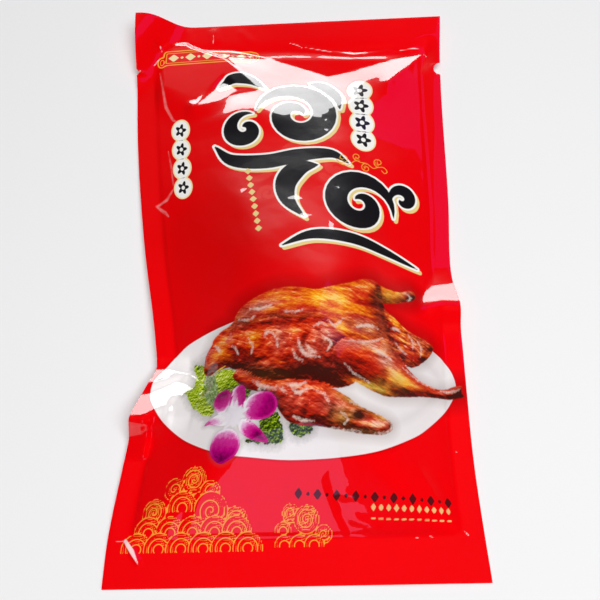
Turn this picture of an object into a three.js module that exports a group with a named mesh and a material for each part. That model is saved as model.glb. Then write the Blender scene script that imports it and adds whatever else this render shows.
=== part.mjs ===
// A large sealed food pouch, filled and shut, lying on its back on a table.
//
// Two printed films are welded together along all four edges. Between the
// welds the filling lifts the front film into a long, uneven mound, the back
// film lies flat on the table, and the side seals are pulled in at the waist.
//
// Units are millimetres and +Z is up. X runs across the pouch and Y along it,
// with the wide header seal at +Y. The origin is on the table, under the
// middle of the pouch.
import * as THREE from "three";
import { mergeVertices } from "three/addons/utils/BufferGeometryUtils.js";

// The empty bag, cut flat.
const LENGTH = 460;
const WIDTH = 260;
const HEADER_SEAL = 21;
const FOOT_SEAL = 30;
const SIDE_SEAL = 15;
const SEALED_THICKNESS = 1.2;

// How far each long edge is pulled in from the cut width by the filling, as
// [distance along the pouch, inset]. The left edge buckles under the waist.
const LEFT_INSET = [
  [-230, 0],
  [-198, 2],
  [-159, 8.2],
  [-118, 16.5],
  [-97, 23.6],
  [-83, 30.4],
  [-60, 29],
  [16, 16.6],
  [107, 5.4],
  [165, 1.6],
  [230, 0],
];
const RIGHT_INSET = [
  [-230, 0],
  [-203, 2.1],
  [-150, 5.4],
  [-101, 6.8],
  [-31, 7.8],
  [-14, 9.8],
  [57, 5.9],
  [190, 2.6],
  [230, 0],
];

// How high each long edge is held above the table.
const LEFT_LIFT = [
  [-230, 2],
  [-190, 2.6],
  [-125, 7],
  [-83, 10],
  [-40, 10],
  [40, 6],
  [110, 2.6],
  [170, 2],
  [230, 1.2],
];
const RIGHT_LIFT = [
  [-230, 3],
  [-150, 5],
  [-85, 11],
  [-20, 9],
  [57, 5],
  [130, 5],
  [190, 9],
  [230, 14],
];

// Buckles across the side seals: a ridge with a long facet towards +Y and a
// short one behind, dying out at a distance from the edge.
const BUCKLES = [
  { side: -1, y: -119, height: 15, facet: 21, behind: 11, reach: 46 },
  { side: -1, y: -89, height: 7, facet: 10, behind: 8, reach: 28 },
  { side: 1, y: -40, height: 11, facet: 21, behind: 10, reach: 38 },
];

// The pinched waist keeps the filling away from the left seal.
const POCKET = { y: -98, depth: 18, reach: 20 };

// Height of the mound over the seals, along its middle, before the ends slope down.
const MOUND = [
  [-200, 47],
  [-150, 49],
  [-95, 51],
  [-50, 48.5],
  [10, 38.5],
  [70, 28.5],
  [125, 19.5],
  [160, 17.5],
  [209, 16],
];
const MOUND_ROUND = 0.5; // the part of its half width that is a rounded top; the rest slopes straight
const RIDGE_SOFTNESS = 5; // radius of the fold where an end slope meets the mound

// The end slopes. The foot's rises straight from its weld. The header's starts
// further in, along two creases that leave the weld and meet in a point.
const FOOT_RISE = 0.76;
const HEADER_RISE = 0.33;
const HEADER_POINT = [34, 175];
const HEADER_CREASE_LEFT = [-56, 209];
const HEADER_CREASE_RIGHT = [117, 197];
const HEADER_WELD_LEFT = [-117, 209];
const HEADER_WELD_RIGHT = [118, 199];

const BACK_DEPTH = 26; // how deep the back film would hang without the table
const BACK_END = 30; // length over which the back film drops at each end

// Lumps of the filling under the film: middle, reach along X and Y, height.
const LUMPS = [
  { x: 18, y: -78, reachX: 62, reachY: 70, height: 6 },
  { x: 62, y: -126, reachX: 34, reachY: 30, height: 5 },
  { x: -44, y: -138, reachX: 36, reachY: 30, height: 4.5 },
  { x: -22, y: 6, reachX: 50, reachY: 46, height: 3.5 },
  { x: 58, y: -12, reachX: 30, reachY: 34, height: 3 },
  { x: -42, y: 150, reachX: 40, reachY: 34, height: 9.5 },
];

// Creases pressed into the front film, from the edge inwards.
const CREASES = [
  { from: [-104, -84], to: [-52, -62], halfWidth: 9, depth: 4.5 },
  { from: [-110, -106], to: [-62, -112], halfWidth: 9, depth: 3 },
  { from: [124, -20], to: [78, -34], halfWidth: 8, depth: 3 },
  { from: [-108, -200], to: [-66, -158], halfWidth: 9, depth: 2.6 },
  { from: [112, -200], to: [80, -156], halfWidth: 9, depth: 2.4 },
];

// The header corner at -X, +Y curls up along a slanting line.
const CURL_HEIGHT = 22;
const CURL_SLANT = 0.575; // reach along X for each millimetre along Y
const CURL_START = 8;
const CURL_END = 44;

// Tear notches in the side seals, just under the header.
const NOTCH_Y = 180;
const SLIT_DEPTH = 3.5;
const SLIT_HALF_HEIGHT = 2;
const PUNCH_RADIUS = 5.5;

// Mesh lines across and along the pouch.
const SEAL_CELLS = 2;
const CHAMBER_COLUMNS = 28;
const CHAMBER_ROWS = 64;
const END_ROWS = 4;
const NOTCH_ROWS = [5.5, 4, 2, 0, -2, -4, -5.5];

const PRINT_RED = 0xd4000f;

const { lerp, smoothstep, clamp } = THREE.MathUtils;

/** A smooth curve through [position, value] pairs, held level past its ends. */
function profile(pairs) {
  const at = pairs.map(([position]) => position);
  const values = pairs.map(([, value]) => value);
  const curve = new THREE.CubicInterpolant(at, values, 1);
  return (p) => curve.evaluate(clamp(p, at[0], at.at(-1)))[0];
}

const leftInset = profile(LEFT_INSET);
const rightInset = profile(RIGHT_INSET);
const leftLift = profile(LEFT_LIFT);
const rightLift = profile(RIGHT_LIFT);
const mound = profile(MOUND);

const leftEdge = (y) => -WIDTH / 2 + leftInset(y);
const rightEdge = (y) => WIDTH / 2 - rightInset(y);
const chamberTop = LENGTH / 2 - HEADER_SEAL;
const chamberBottom = -LENGTH / 2 + FOOT_SEAL;

/** Distance from a point to the stretch between two points, and how far along it that is. */
function toStretch(x, y, [x0, y0], [x1, y1]) {
  const along = ((x - x0) * (x1 - x0) + (y - y0) * (y1 - y0)) / ((x1 - x0) ** 2 + (y1 - y0) ** 2);
  const t = clamp(along, 0, 1);
  return { distance: Math.hypot(x - lerp(x0, x1, t), y - lerp(y0, y1, t)), t };
}

/** Height of the buckles at a point. */
function buckles(x, y) {
  let height = 0;
  for (const buckle of BUCKLES) {
    const along = y - buckle.y;
    const ridge = 1 - (along > 0 ? along / buckle.facet : -along / buckle.behind);
    const fromEdge = buckle.side < 0 ? x - leftEdge(y) : rightEdge(y) - x;
    const fade = 1 - smoothstep(fromEdge, buckle.reach / 2, buckle.reach);
    height += buckle.height * Math.max(0, ridge) * fade;
  }
  return height;
}

/** Height of the plane of the seals: both long edges' lift, the buckles and the curled corner. */
function sealPlane(x, y) {
  const across = (x - leftEdge(y)) / (rightEdge(y) - leftEdge(y));
  const fromCorner = x + WIDTH / 2 + CURL_SLANT * (LENGTH / 2 - y);
  const curl = CURL_HEIGHT * (1 - smoothstep(fromCorner, CURL_START, CURL_END));
  return lerp(leftLift(y), rightLift(y), across) + buckles(x, y) + curl;
}

/** How full the pouch is across its width: 1 on the middle line, 0 at the side seals. */
function fullness(x, y) {
  const pocket = POCKET.depth * Math.exp(-(((y - POCKET.y) / POCKET.reach) ** 2));
  const left = leftEdge(y) + SIDE_SEAL + pocket;
  const right = rightEdge(y) - SIDE_SEAL;
  const offset = Math.abs((2 * x - left - right) / (right - left));
  const fall = 2 / (2 - MOUND_ROUND);
  if (offset > MOUND_ROUND) return Math.max(0, fall * (1 - offset));
  return 1 - (fall * offset ** 2) / (2 * MOUND_ROUND);
}

/** The smaller of two heights, with a rounded fold where they meet. */
function foldedMin(a, b) {
  const h = clamp(0.5 + (0.5 * (b - a)) / RIDGE_SOFTNESS, 0, 1);
  return lerp(b, a, h) - RIDGE_SOFTNESS * h * (1 - h);
}

/** Distance of a point below the line from one point to another on its right. */
function below(x, y, [x0, y0], [x1, y1]) {
  return ((x - x0) * (y1 - y0) - (y - y0) * (x1 - x0)) / Math.hypot(x1 - x0, y1 - y0);
}

/** Height that the end slopes allow at a point. */
function endSlopes(x, y) {
  const past = Math.max(
    below(x, y, HEADER_CREASE_LEFT, HEADER_POINT),
    below(x, y, HEADER_POINT, HEADER_CREASE_RIGHT),
  );
  const header = HEADER_RISE * Math.min(below(x, y, HEADER_WELD_LEFT, HEADER_WELD_RIGHT), past);
  const foot = FOOT_RISE * (y - chamberBottom);
  return Math.max(0, Math.min(header, foot));
}

/** Height of the front film over the seal plane. */
function frontBulge(x, y) {
  const full = fullness(x, y);
  if (full === 0 || y >= chamberTop || y <= chamberBottom) return 0;
  let filling = mound(y);
  for (const lump of LUMPS) {
    const far = ((x - lump.x) / lump.reachX) ** 2 + ((y - lump.y) / lump.reachY) ** 2;
    filling += lump.height * Math.exp(-far);
  }
  let height = Math.max(0, foldedMin(endSlopes(x, y), filling * full));
  for (const crease of CREASES) {
    const { distance, t } = toStretch(x, y, crease.from, crease.to);
    const fade = 1 - smoothstep(distance, 0, crease.halfWidth);
    height -= crease.depth * fade * (1 - t) ** 0.5 * Math.min(1, height / crease.depth / 2);
  }
  return height;
}

/** Depth of the back film under the seal plane, before the table stops it. */
function backBulge(x, y) {
  const ends =
    smoothstep(chamberTop - y, 0, BACK_END) * smoothstep(y - chamberBottom, 0, BACK_END);
  return BACK_DEPTH * Math.sqrt(fullness(x, y)) * ends;
}

/** How deep the cut edge steps in at a tear notch; side is -1 for the slit, 1 for the half-round punch. */
function notchDepth(y, side) {
  const off = Math.abs(y - NOTCH_Y);
  if (side < 0) return SLIT_DEPTH * Math.max(0, 1 - off / SLIT_HALF_HEIGHT);
  return Math.sqrt(Math.max(0, PUNCH_RADIUS ** 2 - off ** 2));
}

/** Even steps from one value to another, without the first. */
function steps(from, to, count) {
  return Array.from({ length: count }, (_, i) => lerp(from, to, (i + 1) / count));
}

/** The mesh rows, from the foot to the header, with closer rows at the notches. */
function rowPositions() {
  const rows = [
    -LENGTH / 2,
    ...steps(-LENGTH / 2, chamberBottom, END_ROWS),
    ...steps(chamberBottom, chamberTop, CHAMBER_ROWS),
    ...steps(chamberTop, LENGTH / 2, END_ROWS),
  ];
  const reach = PUNCH_RADIUS + 1.5;
  return [
    ...rows.filter((y) => Math.abs(y - NOTCH_Y) > reach),
    ...NOTCH_ROWS.map((off) => NOTCH_Y + off),
  ].sort((a, b) => a - b);
}

/** X of each mesh column at one row, from the left edge to the right. */
function columnPositions(y) {
  const left = leftEdge(y);
  const right = rightEdge(y);
  const columns = [
    left,
    ...steps(left, left + SIDE_SEAL, SEAL_CELLS),
    ...steps(left + SIDE_SEAL, right - SIDE_SEAL, CHAMBER_COLUMNS),
    ...steps(right - SIDE_SEAL, right, SEAL_CELLS),
  ];
  columns[0] += notchDepth(y, -1);
  columns[columns.length - 1] -= notchDepth(y, 1);
  return columns;
}

/** The closed pouch: a flat box mesh whose two faces are moved to the front and back films. */
function pouchGeometry() {
  const rows = rowPositions();
  const columns = rows.map(columnPositions);
  const across = columns[0].length - 1;
  const along = rows.length - 1;
  const flat = new THREE.BoxGeometry(1, 1, 1, across, along, 1);
  flat.deleteAttribute("normal");
  flat.deleteAttribute("uv");
  const geometry = mergeVertices(flat, 1e-5);
  const position = geometry.getAttribute("position");
  for (let i = 0; i < position.count; i++) {
    const row = Math.round((position.getY(i) + 0.5) * along);
    const column = Math.round((position.getX(i) + 0.5) * across);
    const x = columns[row][column];
    const y = rows[row];
    const front = position.getZ(i) > 0;
    const seal = sealPlane(x, y);
    const z = front
      ? seal + SEALED_THICKNESS / 2 + frontBulge(x, y)
      : Math.max(0, seal - SEALED_THICKNESS / 2 - backBulge(x, y));
    position.setXYZ(i, x, y, z);
  }
  geometry.computeVertexNormals();
  return geometry;
}

const pouch = new THREE.Mesh(
  pouchGeometry(),
  new THREE.MeshStandardMaterial({ color: PRINT_RED, roughness: 0.18, metalness: 0 }),
);
pouch.name = "pouch";

const group = new THREE.Group();
group.add(pouch);

export default group;
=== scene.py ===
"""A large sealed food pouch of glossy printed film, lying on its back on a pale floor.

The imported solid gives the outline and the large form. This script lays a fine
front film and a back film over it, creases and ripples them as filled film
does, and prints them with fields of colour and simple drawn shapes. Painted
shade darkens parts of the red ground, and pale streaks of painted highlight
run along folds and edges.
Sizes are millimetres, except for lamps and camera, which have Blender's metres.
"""
import logging
import math
from dataclasses import dataclass
from enum import Enum
from typing import Any, Iterable, Iterator, Sequence

import bpy
import numpy as np
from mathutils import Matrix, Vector
from mathutils.bvhtree import BVHTree


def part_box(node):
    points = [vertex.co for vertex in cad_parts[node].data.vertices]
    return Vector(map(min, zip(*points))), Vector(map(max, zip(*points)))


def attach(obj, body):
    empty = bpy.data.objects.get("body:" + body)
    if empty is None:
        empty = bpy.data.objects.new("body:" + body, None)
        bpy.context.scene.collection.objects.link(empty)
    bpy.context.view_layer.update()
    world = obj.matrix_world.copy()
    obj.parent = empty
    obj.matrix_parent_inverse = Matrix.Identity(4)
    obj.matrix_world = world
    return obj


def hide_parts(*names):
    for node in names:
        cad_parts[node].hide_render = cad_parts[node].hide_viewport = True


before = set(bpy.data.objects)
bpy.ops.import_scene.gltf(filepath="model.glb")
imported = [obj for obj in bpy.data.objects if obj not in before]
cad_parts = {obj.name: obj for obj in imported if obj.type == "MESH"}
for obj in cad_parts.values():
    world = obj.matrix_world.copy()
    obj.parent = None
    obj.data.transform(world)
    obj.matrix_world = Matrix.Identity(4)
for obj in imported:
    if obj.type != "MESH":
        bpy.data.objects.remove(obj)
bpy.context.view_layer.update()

MM = 0.001
NODE = "pouch"
BODY = "root"
FAR = 60.0
RAY_START = 500.0
SPIRAL_STEPS = 40
LATTICE = 64
LATTICE_START = 300
OCTAVE_SHIFTS = (17, 31)
OCTAVE_FADE = 0.6
CLOUD_GAIN = 1.6

Array = np.ndarray
Point = tuple[float, float]
Place = tuple[float, float, float]
Colour = tuple[float, float, float, float]
Layers = dict[str, Array]

log = logging.getLogger("pouch")


def srgb(red: float, green: float, blue: float) -> Colour:
    """A display colour, 0 to 255 a channel, as linear light with full alpha."""
    shares = [channel / 255 for channel in (red, green, blue)]
    return (*(c / 12.92 if c <= 0.04045 else ((c + 0.055) / 1.055) ** 2.4 for c in shares), 1.0)


def radial(degrees: float) -> Point:
    """Cosine and sine of an angle in degrees."""
    return math.cos(math.radians(degrees)), math.sin(math.radians(degrees))


def smoothstep(low: float, high: float, x: Array) -> Array:
    """Eases from 0 at low to 1 at high."""
    t = np.clip((x - low) / (high - low), 0, 1)
    return t * t * (3 - 2 * t)


def blurred(grid: Array, passes: int) -> Array:
    """Smooths a grid in place, all but its border.

    Args:
        grid: Rows of heights.
        passes: How many times.

    Returns:
        The grid.
    """
    for _ in range(passes):
        for rows in (grid, grid.T):
            rows[1:-1] = (rows[:-2] + 2 * rows[1:-1] + rows[2:]) / 4
    return grid


def vertices(mesh: bpy.types.Mesh) -> Array:
    """A mesh's vertices.

    Args:
        mesh: The mesh.

    Returns:
        Its vertices, one a row.
    """
    points = np.empty(len(mesh.vertices) * 3)
    mesh.vertices.foreach_get("co", points)
    return points.reshape(-1, 3)


# ---------------------------------------------------------------- drawing on the flat film


def between(a: Array, b: Array, c: Array, d: Array, t: Array) -> Array:
    """The Catmull-Rom curve from b to c, at fractions t."""
    return 0.5 * (2 * b + (c - a) * t + (2 * a - 5 * b + 4 * c - d) * t**2
                  + (3 * b - a - 3 * c + d) * t**3)


def smooth_path(points: Sequence[Sequence[float]], per_span: int = 7) -> Array:
    """A smooth curve through points of any number of values.

    Args:
        points: The points it passes, such as (u, v, half width).
        per_span: Steps between two points.

    Returns:
        The curve's points, one a row.
    """
    p = np.array(points, float)
    p = np.vstack([2 * p[0] - p[1], p, 2 * p[-1] - p[-2]])
    t = np.arange(per_span)[:, None] / per_span
    return np.vstack([*(between(*span, t) for span in zip(p, p[1:], p[2:], p[3:])), p[-2:-1]])


def spiral(centre: Point, outer: float, inner: float, turns: float, start: float) -> Array:
    """A spiral line that winds inwards.

    Args:
        centre: Its middle.
        outer, inner: Radius where it starts and ends.
        turns: Number of turns, negative for clockwise.
        start: Direction of its outer end from the middle, in degrees.

    Returns:
        The line's points.
    """
    t = np.linspace(0, 1, SPIRAL_STEPS + 1)
    angle = math.radians(start) + 2 * math.pi * turns * t
    radius = outer + (inner - outer) * t**0.85
    return np.c_[centre[0] + radius * np.cos(angle), centre[1] + radius * np.sin(angle)]


def brush(line: Array, thick: float, head: float) -> Array:
    """Gives a line the width of one brush stroke: a tip, a swell and a long taper.

    Args:
        line: The points, as (u, v) rows.
        thick: Half width where the stroke is widest.
        head: Where along the line that is, from 0 to 1.

    Returns:
        Rows of (u, v, half width).
    """
    t = np.linspace(0, 1, len(line))
    swell = np.where(t < head, t / head, (1 - t) / (1 - head))
    return np.c_[line, 0.35 + thick * np.sin(np.clip(swell, 0, 1) * math.pi / 2) ** 0.9]


def joined(shape: Array, *others: Array, soft: float = 0.0) -> Array:
    """Distance to several shapes together.

    Args:
        shape, others: The distance to each.
        soft: About the radius of the fillet between them.

    Returns:
        The distance at each point.
    """
    for other in others:
        if soft:
            h = np.clip(0.5 + 0.5 * (other - shape) / soft, 0, 1)
            shape = other + (shape - other) * h - soft * h * (1 - h)
        else:
            shape = np.minimum(shape, other)
    return shape


@dataclass
class FlatFilm:
    """Points of a film laid out flat, on which shapes are drawn as distances.

    A shape's distance is negative inside it. Where nothing is near, it is FAR.

    Attributes:
        u, v: Each point's position across and along the film.
        shape: Rows and columns, where the points are the film's whole grid.
    """

    u: Array
    v: Array
    shape: tuple[int, int] = (0, 0)

    def blank(self) -> Array:
        """A layer with nothing on it."""
        return np.full(len(self.u), FAR)

    def turned(self, centre: Point, angle: float = 0.0) -> tuple[Array, Array]:
        """The points in another frame.

        Args:
            centre: Where it is.
            angle: How many degrees it is turned.

        Returns:
            How far each point is along and across it.
        """
        c, s = radial(angle)
        x, y = self.u - centre[0], self.v - centre[1]
        return c * x + s * y, c * y - s * x

    def spot(self, u: float, v: float, along: float, across: float, angle: float) -> Array:
        """A soft spot, 1 in its middle, that reaches so far along and across its angle."""
        a, b = self.turned((u, v), angle)
        return np.exp(-(a / along) ** 2 - (b / across) ** 2)

    def ellipse(self, centre: Point, radii: Point) -> Array:
        """Distance to an ellipse.

        Args:
            centre, radii: Its middle and size.

        Returns:
            The distance at each point.
        """
        (x, y), (a, b) = self.turned(centre), radii
        near = np.hypot(x / a, y / b)
        return near * (near - 1) / np.maximum(np.hypot(x / a**2, y / b**2), 1e-6)

    def lozenge(self, centre: Point, half: Point) -> Array:
        """Distance to a diamond of that half width and half height."""
        x, y = np.abs(self.turned(centre))
        return (x / half[0] + y / half[1] - 1) * min(half)

    def box(self, centre: Point, half: Point, corner: float, angle: float = 0.0) -> Array:
        """Distance to a rectangle with rounded corners.

        Args:
            centre, half: Its middle, and half its width and height.
            corner: Radius of its corners.
            angle: How many degrees it is turned.

        Returns:
            The distance at each point.
        """
        x, y = np.abs(self.turned(centre, angle))
        x, y = x - half[0] + corner, y - half[1] + corner
        return np.hypot(np.maximum(x, 0), np.maximum(y, 0)) + np.minimum(np.maximum(x, y), 0) - corner

    def below(self, start: Point, end: Point) -> Array:
        """Distance below the line from a point to another on its right."""
        dx, dy = end[0] - start[0], end[1] - start[1]
        return ((self.u - start[0]) * dy - (self.v - start[1]) * dx) / math.hypot(dx, dy)

    def cloudy(self, size: float, seed: int, octaves: int, stretch: Point = (1, 1)) -> Array:
        """Soft noise from -1 to 1.

        Args:
            size: Width of its blots.
            seed: Seed of its random numbers.
            octaves: Number of layers, each half as wide as the one before.
            stretch: How much closer it repeats across and along.

        Returns:
            The noise at each point.
        """
        total, weight = np.zeros(len(self.u)), 0.0
        lattice = np.random.default_rng(seed).random((LATTICE, LATTICE)) * 2 - 1
        for octave in range(octaves):
            scale, strength = 2.0**octave / size, OCTAVE_FADE**octave
            x, y = ((at + LATTICE_START + shift * octave) * scale * closer
                    for at, shift, closer in zip((self.u, self.v), OCTAVE_SHIFTS, stretch))
            i, j = x.astype(int), y.astype(int)
            f, g = smoothstep(0, 1, x - i), smoothstep(0, 1, y - j)
            near, far = (lattice[row % LATTICE, i % LATTICE] * (1 - f)
                         + lattice[row % LATTICE, (i + 1) % LATTICE] * f for row in (j, j + 1))
            total += (near * (1 - g) + far * g) * strength
            weight += strength
        return total / weight * CLOUD_GAIN

    def near(self, line: Array, reach: float) -> tuple[Array, "FlatFilm"]:
        """The points near a line.

        Args:
            line: Rows that start with (u, v).
            reach: How far the line's own box is widened.

        Returns:
            The indices of the points in it, and a film of only them.
        """
        low, high = line[:, :2].min(0) - reach, line[:, :2].max(0) + reach
        at = np.flatnonzero((self.u > low[0]) & (self.u < high[0])
                            & (self.v > low[1]) & (self.v < high[1]))
        return at, FlatFilm(self.u[at], self.v[at])

    def pieces(self, line: Array) -> Iterator[tuple[Array, Array, Array]]:
        """How the points lie to each straight piece of a line.

        Args:
            line: Rows that start with (u, v).

        Yields:
            The nearest place on the piece, from 0 to 1, the distance to it, and a number that is
            above 0 at its right side.
        """
        for (x0, y0), (x1, y1) in zip(line[:, :2], line[1:, :2]):
            dx, dy = x1 - x0, y1 - y0
            x, y = self.u - x0, self.v - y0
            t = np.clip((x * dx + y * dy) / max(dx * dx + dy * dy, 1e-9), 0, 1)
            yield t, np.hypot(x - t * dx, y - t * dy), x * dy - y * dx

    def region(self, outline: Sequence[Point], per_span: int = 4, reach: float = 40.0) -> Array:
        """Distance to a smooth closed outline.

        Args:
            outline: Points that it passes.
            per_span: Steps between two points.
            reach: How far past the outline its distance is worked out.

        Returns:
            The distance at each point.
        """
        ring = np.array(outline, float)
        ring = smooth_path(np.vstack([ring[-2:], ring, ring[:2]]), per_span)[2 * per_span:-per_span - 1]
        ring = np.vstack([ring, ring[:1]])
        layer = self.blank()
        at, close = self.near(ring, reach)
        best, inside = close.blank(), np.zeros(len(at), bool)
        for (_, far, right), y0, y1 in zip(close.pieces(ring), ring[:, 1], ring[1:, 1]):
            best = np.minimum(best, far)
            inside ^= ((y0 > close.v) != (y1 > close.v)) & (right * (y1 - y0) < 0)
        layer[at] = np.where(inside, -best, best)
        return layer

    def strokes(self, lines: Iterable[Sequence], reach: float = 14.0) -> Array:
        """Distance to strokes of varying width.

        Args:
            lines: Each stroke's rows of (u, v, half width).
            reach: How far past a stroke its distance is worked out.

        Returns:
            The distance at each point.
        """
        layer = self.blank()
        for line in (np.array(line, float) for line in lines):
            at, close = self.near(line, reach)
            best = layer[at]
            for (t, far, _), r0, r1 in zip(close.pieces(line), line[:, 2], line[1:, 2]):
                best = np.minimum(best, far - (r0 + (r1 - r0) * t))
            layer[at] = best
        return layer


# ---------------------------------------------------------------- the form, from the frame


@dataclass
class PouchForm:
    """Outline and heights of the pouch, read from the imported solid.

    Attributes:
        columns, rows, border: Steps of the readings, and how far in they start, as fractions.
        notch_zone: How far along the edge a notch reaches.
        notch_spread: How far in the film's cells give way to it.
        easing: Steps along an edge, with the weights that ease its corners.
    """

    columns: int = 66
    rows: int = 116
    border: Point = (0.004, 0.002)
    notch_y: float = 180.0
    notch_zone: float = 6.5
    slit_depth: float = 3.5
    slit_half: float = 2.0
    punch_radius: float = 5.5
    notch_spread: float = 9.0
    easing: tuple[Point, ...] = ((-6, 0.1), (-3, 0.24), (0, 0.32), (3, 0.24), (6, 0.1))

    def __post_init__(self) -> None:
        """Reads the outline and both faces from the CAD node."""
        low, high = (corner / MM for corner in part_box(NODE))
        self.foot, self.width, self.length = low.y, high.x - low.x, high.y - low.y
        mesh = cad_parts[NODE].data
        points = vertices(mesh) / MM
        self.tree = BVHTree.FromPolygons(points.tolist(), [tuple(p.vertices) for p in mesh.polygons])
        y = np.round(points[:, 1], 2)
        levels = np.unique(y)
        self.levels = levels[np.abs(levels - self.notch_y) > self.notch_zone]
        across = [points[y == level, 0] for level in self.levels]
        self.sides = [[x.min() for x in across], [x.max() for x in across]]
        self.front, self.back = self.read_face(1), self.read_face(-1)

    def edges(self, y: Array) -> list[Array]:
        """X of the left and the right edge at each y."""
        return [sum(weight * np.interp(y + step, self.levels, side) for step, weight in self.easing)
                for side in self.sides]

    def place(self, s: Array, t: Array) -> tuple[Array, Array]:
        """Places in the plan.

        Args:
            s, t: Fractions across and along.

        Returns:
            Their x and y.
        """
        y = self.foot + t * self.length
        left, right = self.edges(y)
        return left + s * (right - left), y

    def read_face(self, facing: int) -> Array:
        """Heights of one face on an even grid, by rays that meet it from outside.

        Args:
            facing: 1 for the front, -1 for the back.

        Returns:
            Heights, a row for each step along the pouch.
        """
        s, t = (np.clip(np.linspace(0, 1, steps + 1), inset, 1 - inset)
                for steps, inset in zip((self.columns, self.rows), self.border))
        x, y = self.place(*(part.ravel() for part in np.meshgrid(s, t)))
        hits = [self.tree.ray_cast(Vector((*at, RAY_START * facing)), Vector((0, 0, -facing)))[0]
                for at in zip(x, y)]
        heights = np.reshape([np.nan if hit is None else hit.z for hit in hits], (len(t), len(s)))
        for columns in (heights[:, 4::-1].T, heights[:, -5:].T):
            for inner, outer in zip(columns, columns[1:]):
                outer[:] = np.where(np.isnan(outer), inner, outer)
        return blurred(heights, 2)

    @staticmethod
    def cubic(values: Array, at: Array) -> Array:
        """Smooth reading of a grid along its first axis.

        Args:
            values: The grid.
            at: Fractions from 0 to 1.

        Returns:
            A row for each fraction.
        """
        last = len(values) - 1
        x = np.clip(at, 0, 1) * last
        i = np.minimum(x.astype(int), last - 1)
        return between(values[np.maximum(i - 1, 0)], values[i], values[i + 1],
                       values[np.minimum(i + 2, last)], (x - i)[:, None])

    def height(self, face: Array, s: Array, t: Array) -> Array:
        """Heights of a face on a regular grid of fractions s across and t along."""
        return self.cubic(self.cubic(face, t).T, s).T

    def notch(self, y: Array, side: int) -> Array:
        """How deep the cut edge steps in.

        Args:
            y: Places along the edge.
            side: 0 for the left edge with the slit, 1 for the right one with the punch.

        Returns:
            The depth at each place.
        """
        off = np.abs(y - self.notch_y)
        if side == 0:
            return self.slit_depth * np.clip(1 - off / self.slit_half, 0, 1)
        return np.sqrt(np.clip(self.punch_radius**2 - off**2, 0, None))


@dataclass(frozen=True)
class HeaderFold:
    """The two sharp creases where the flat header end breaks into the filled part.

    Attributes:
        left, point, right: Their outer ends and the point where they meet.
        rise, deep: The slope below them, and how far down it runs.
        passes: How much the solid's own facets round them off.
        fade: From where to where below them the correction dies out.
    """

    left: Point = (-56.0, 209.0)
    point: Point = (34.0, 175.0)
    right: Point = (117.0, 197.0)
    rise: float = 0.33
    deep: float = 24.0
    passes: int = 26
    fade: Point = (10.0, 20.0)

    def height(self, flat: FlatFilm, weld: Array) -> Array:
        """What sharpens the rounded creases.

        Args:
            flat: The film's grid, laid flat.
            weld: Each point's distance inwards from the weld.

        Returns:
            The height that it adds at each point.
        """
        past = np.maximum(flat.below(self.left, self.point), flat.below(self.point, self.right))
        sharp = self.rise * np.clip(np.minimum(weld, past), 0, self.deep).reshape(flat.shape)
        return (sharp - blurred(sharp.copy(), self.passes)).ravel() * (1 - smoothstep(*self.fade, past))


@dataclass(frozen=True)
class Crease:
    """A line pressed into the film, or a fold drawn in the bird's skin, with a facet at each side.

    Attributes:
        depth: Height of its ridge, or less than 0 for a valley.
        reach: How far its facets run to each side.
        path: Its points on the flat film.
        lean: From -1 to 1, which side's facet is the wider.
        power: 1 for a flat facet, more for one that eases out.
        fade: Part of its length over which each end dies out.
    """

    depth: float
    reach: float
    path: tuple[Point, ...]
    lean: float = 0.0
    power: float = 1.3
    fade: float = 0.2

    def height(self, flat: FlatFilm) -> Array:
        """Height that it adds.

        Args:
            flat: The film's points, laid flat.

        Returns:
            The height at each point.
        """
        line = np.array(self.path, float)
        far, side, along = np.full((3, len(flat.u)), FAR)
        lengths = np.hypot(*np.diff(line, axis=0).T)
        for (t, here, right), length, end in zip(flat.pieces(line), lengths, np.cumsum(lengths)):
            closer = here < far
            side = np.where(closer, right, side)
            along = np.where(closer, (end - length + t * length) / lengths.sum(), along)
            far = np.where(closer, here, far)
        reach = self.reach * np.where(side > 0, 1 + self.lean, 1 - self.lean)
        x = np.clip(1 - np.sqrt(far**2 + 0.35) / reach, 0, 1)
        fade = np.clip(np.minimum(along, 1 - along) / self.fade, 0, 1)
        return self.depth * x**self.power * fade * (2 - fade)


def fold(depth: float, reach: float, *path: Point, **form: float) -> Crease:
    """A fold of the bird's skin."""
    return Crease(depth, reach, path, **form)


def crease(depth: float, reach: float, *path: Point, **form: float) -> Crease:
    """A crease of the film itself."""
    return Crease(depth, reach, path, **{"power": 1.0, "fade": 0.33, **form})


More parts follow.
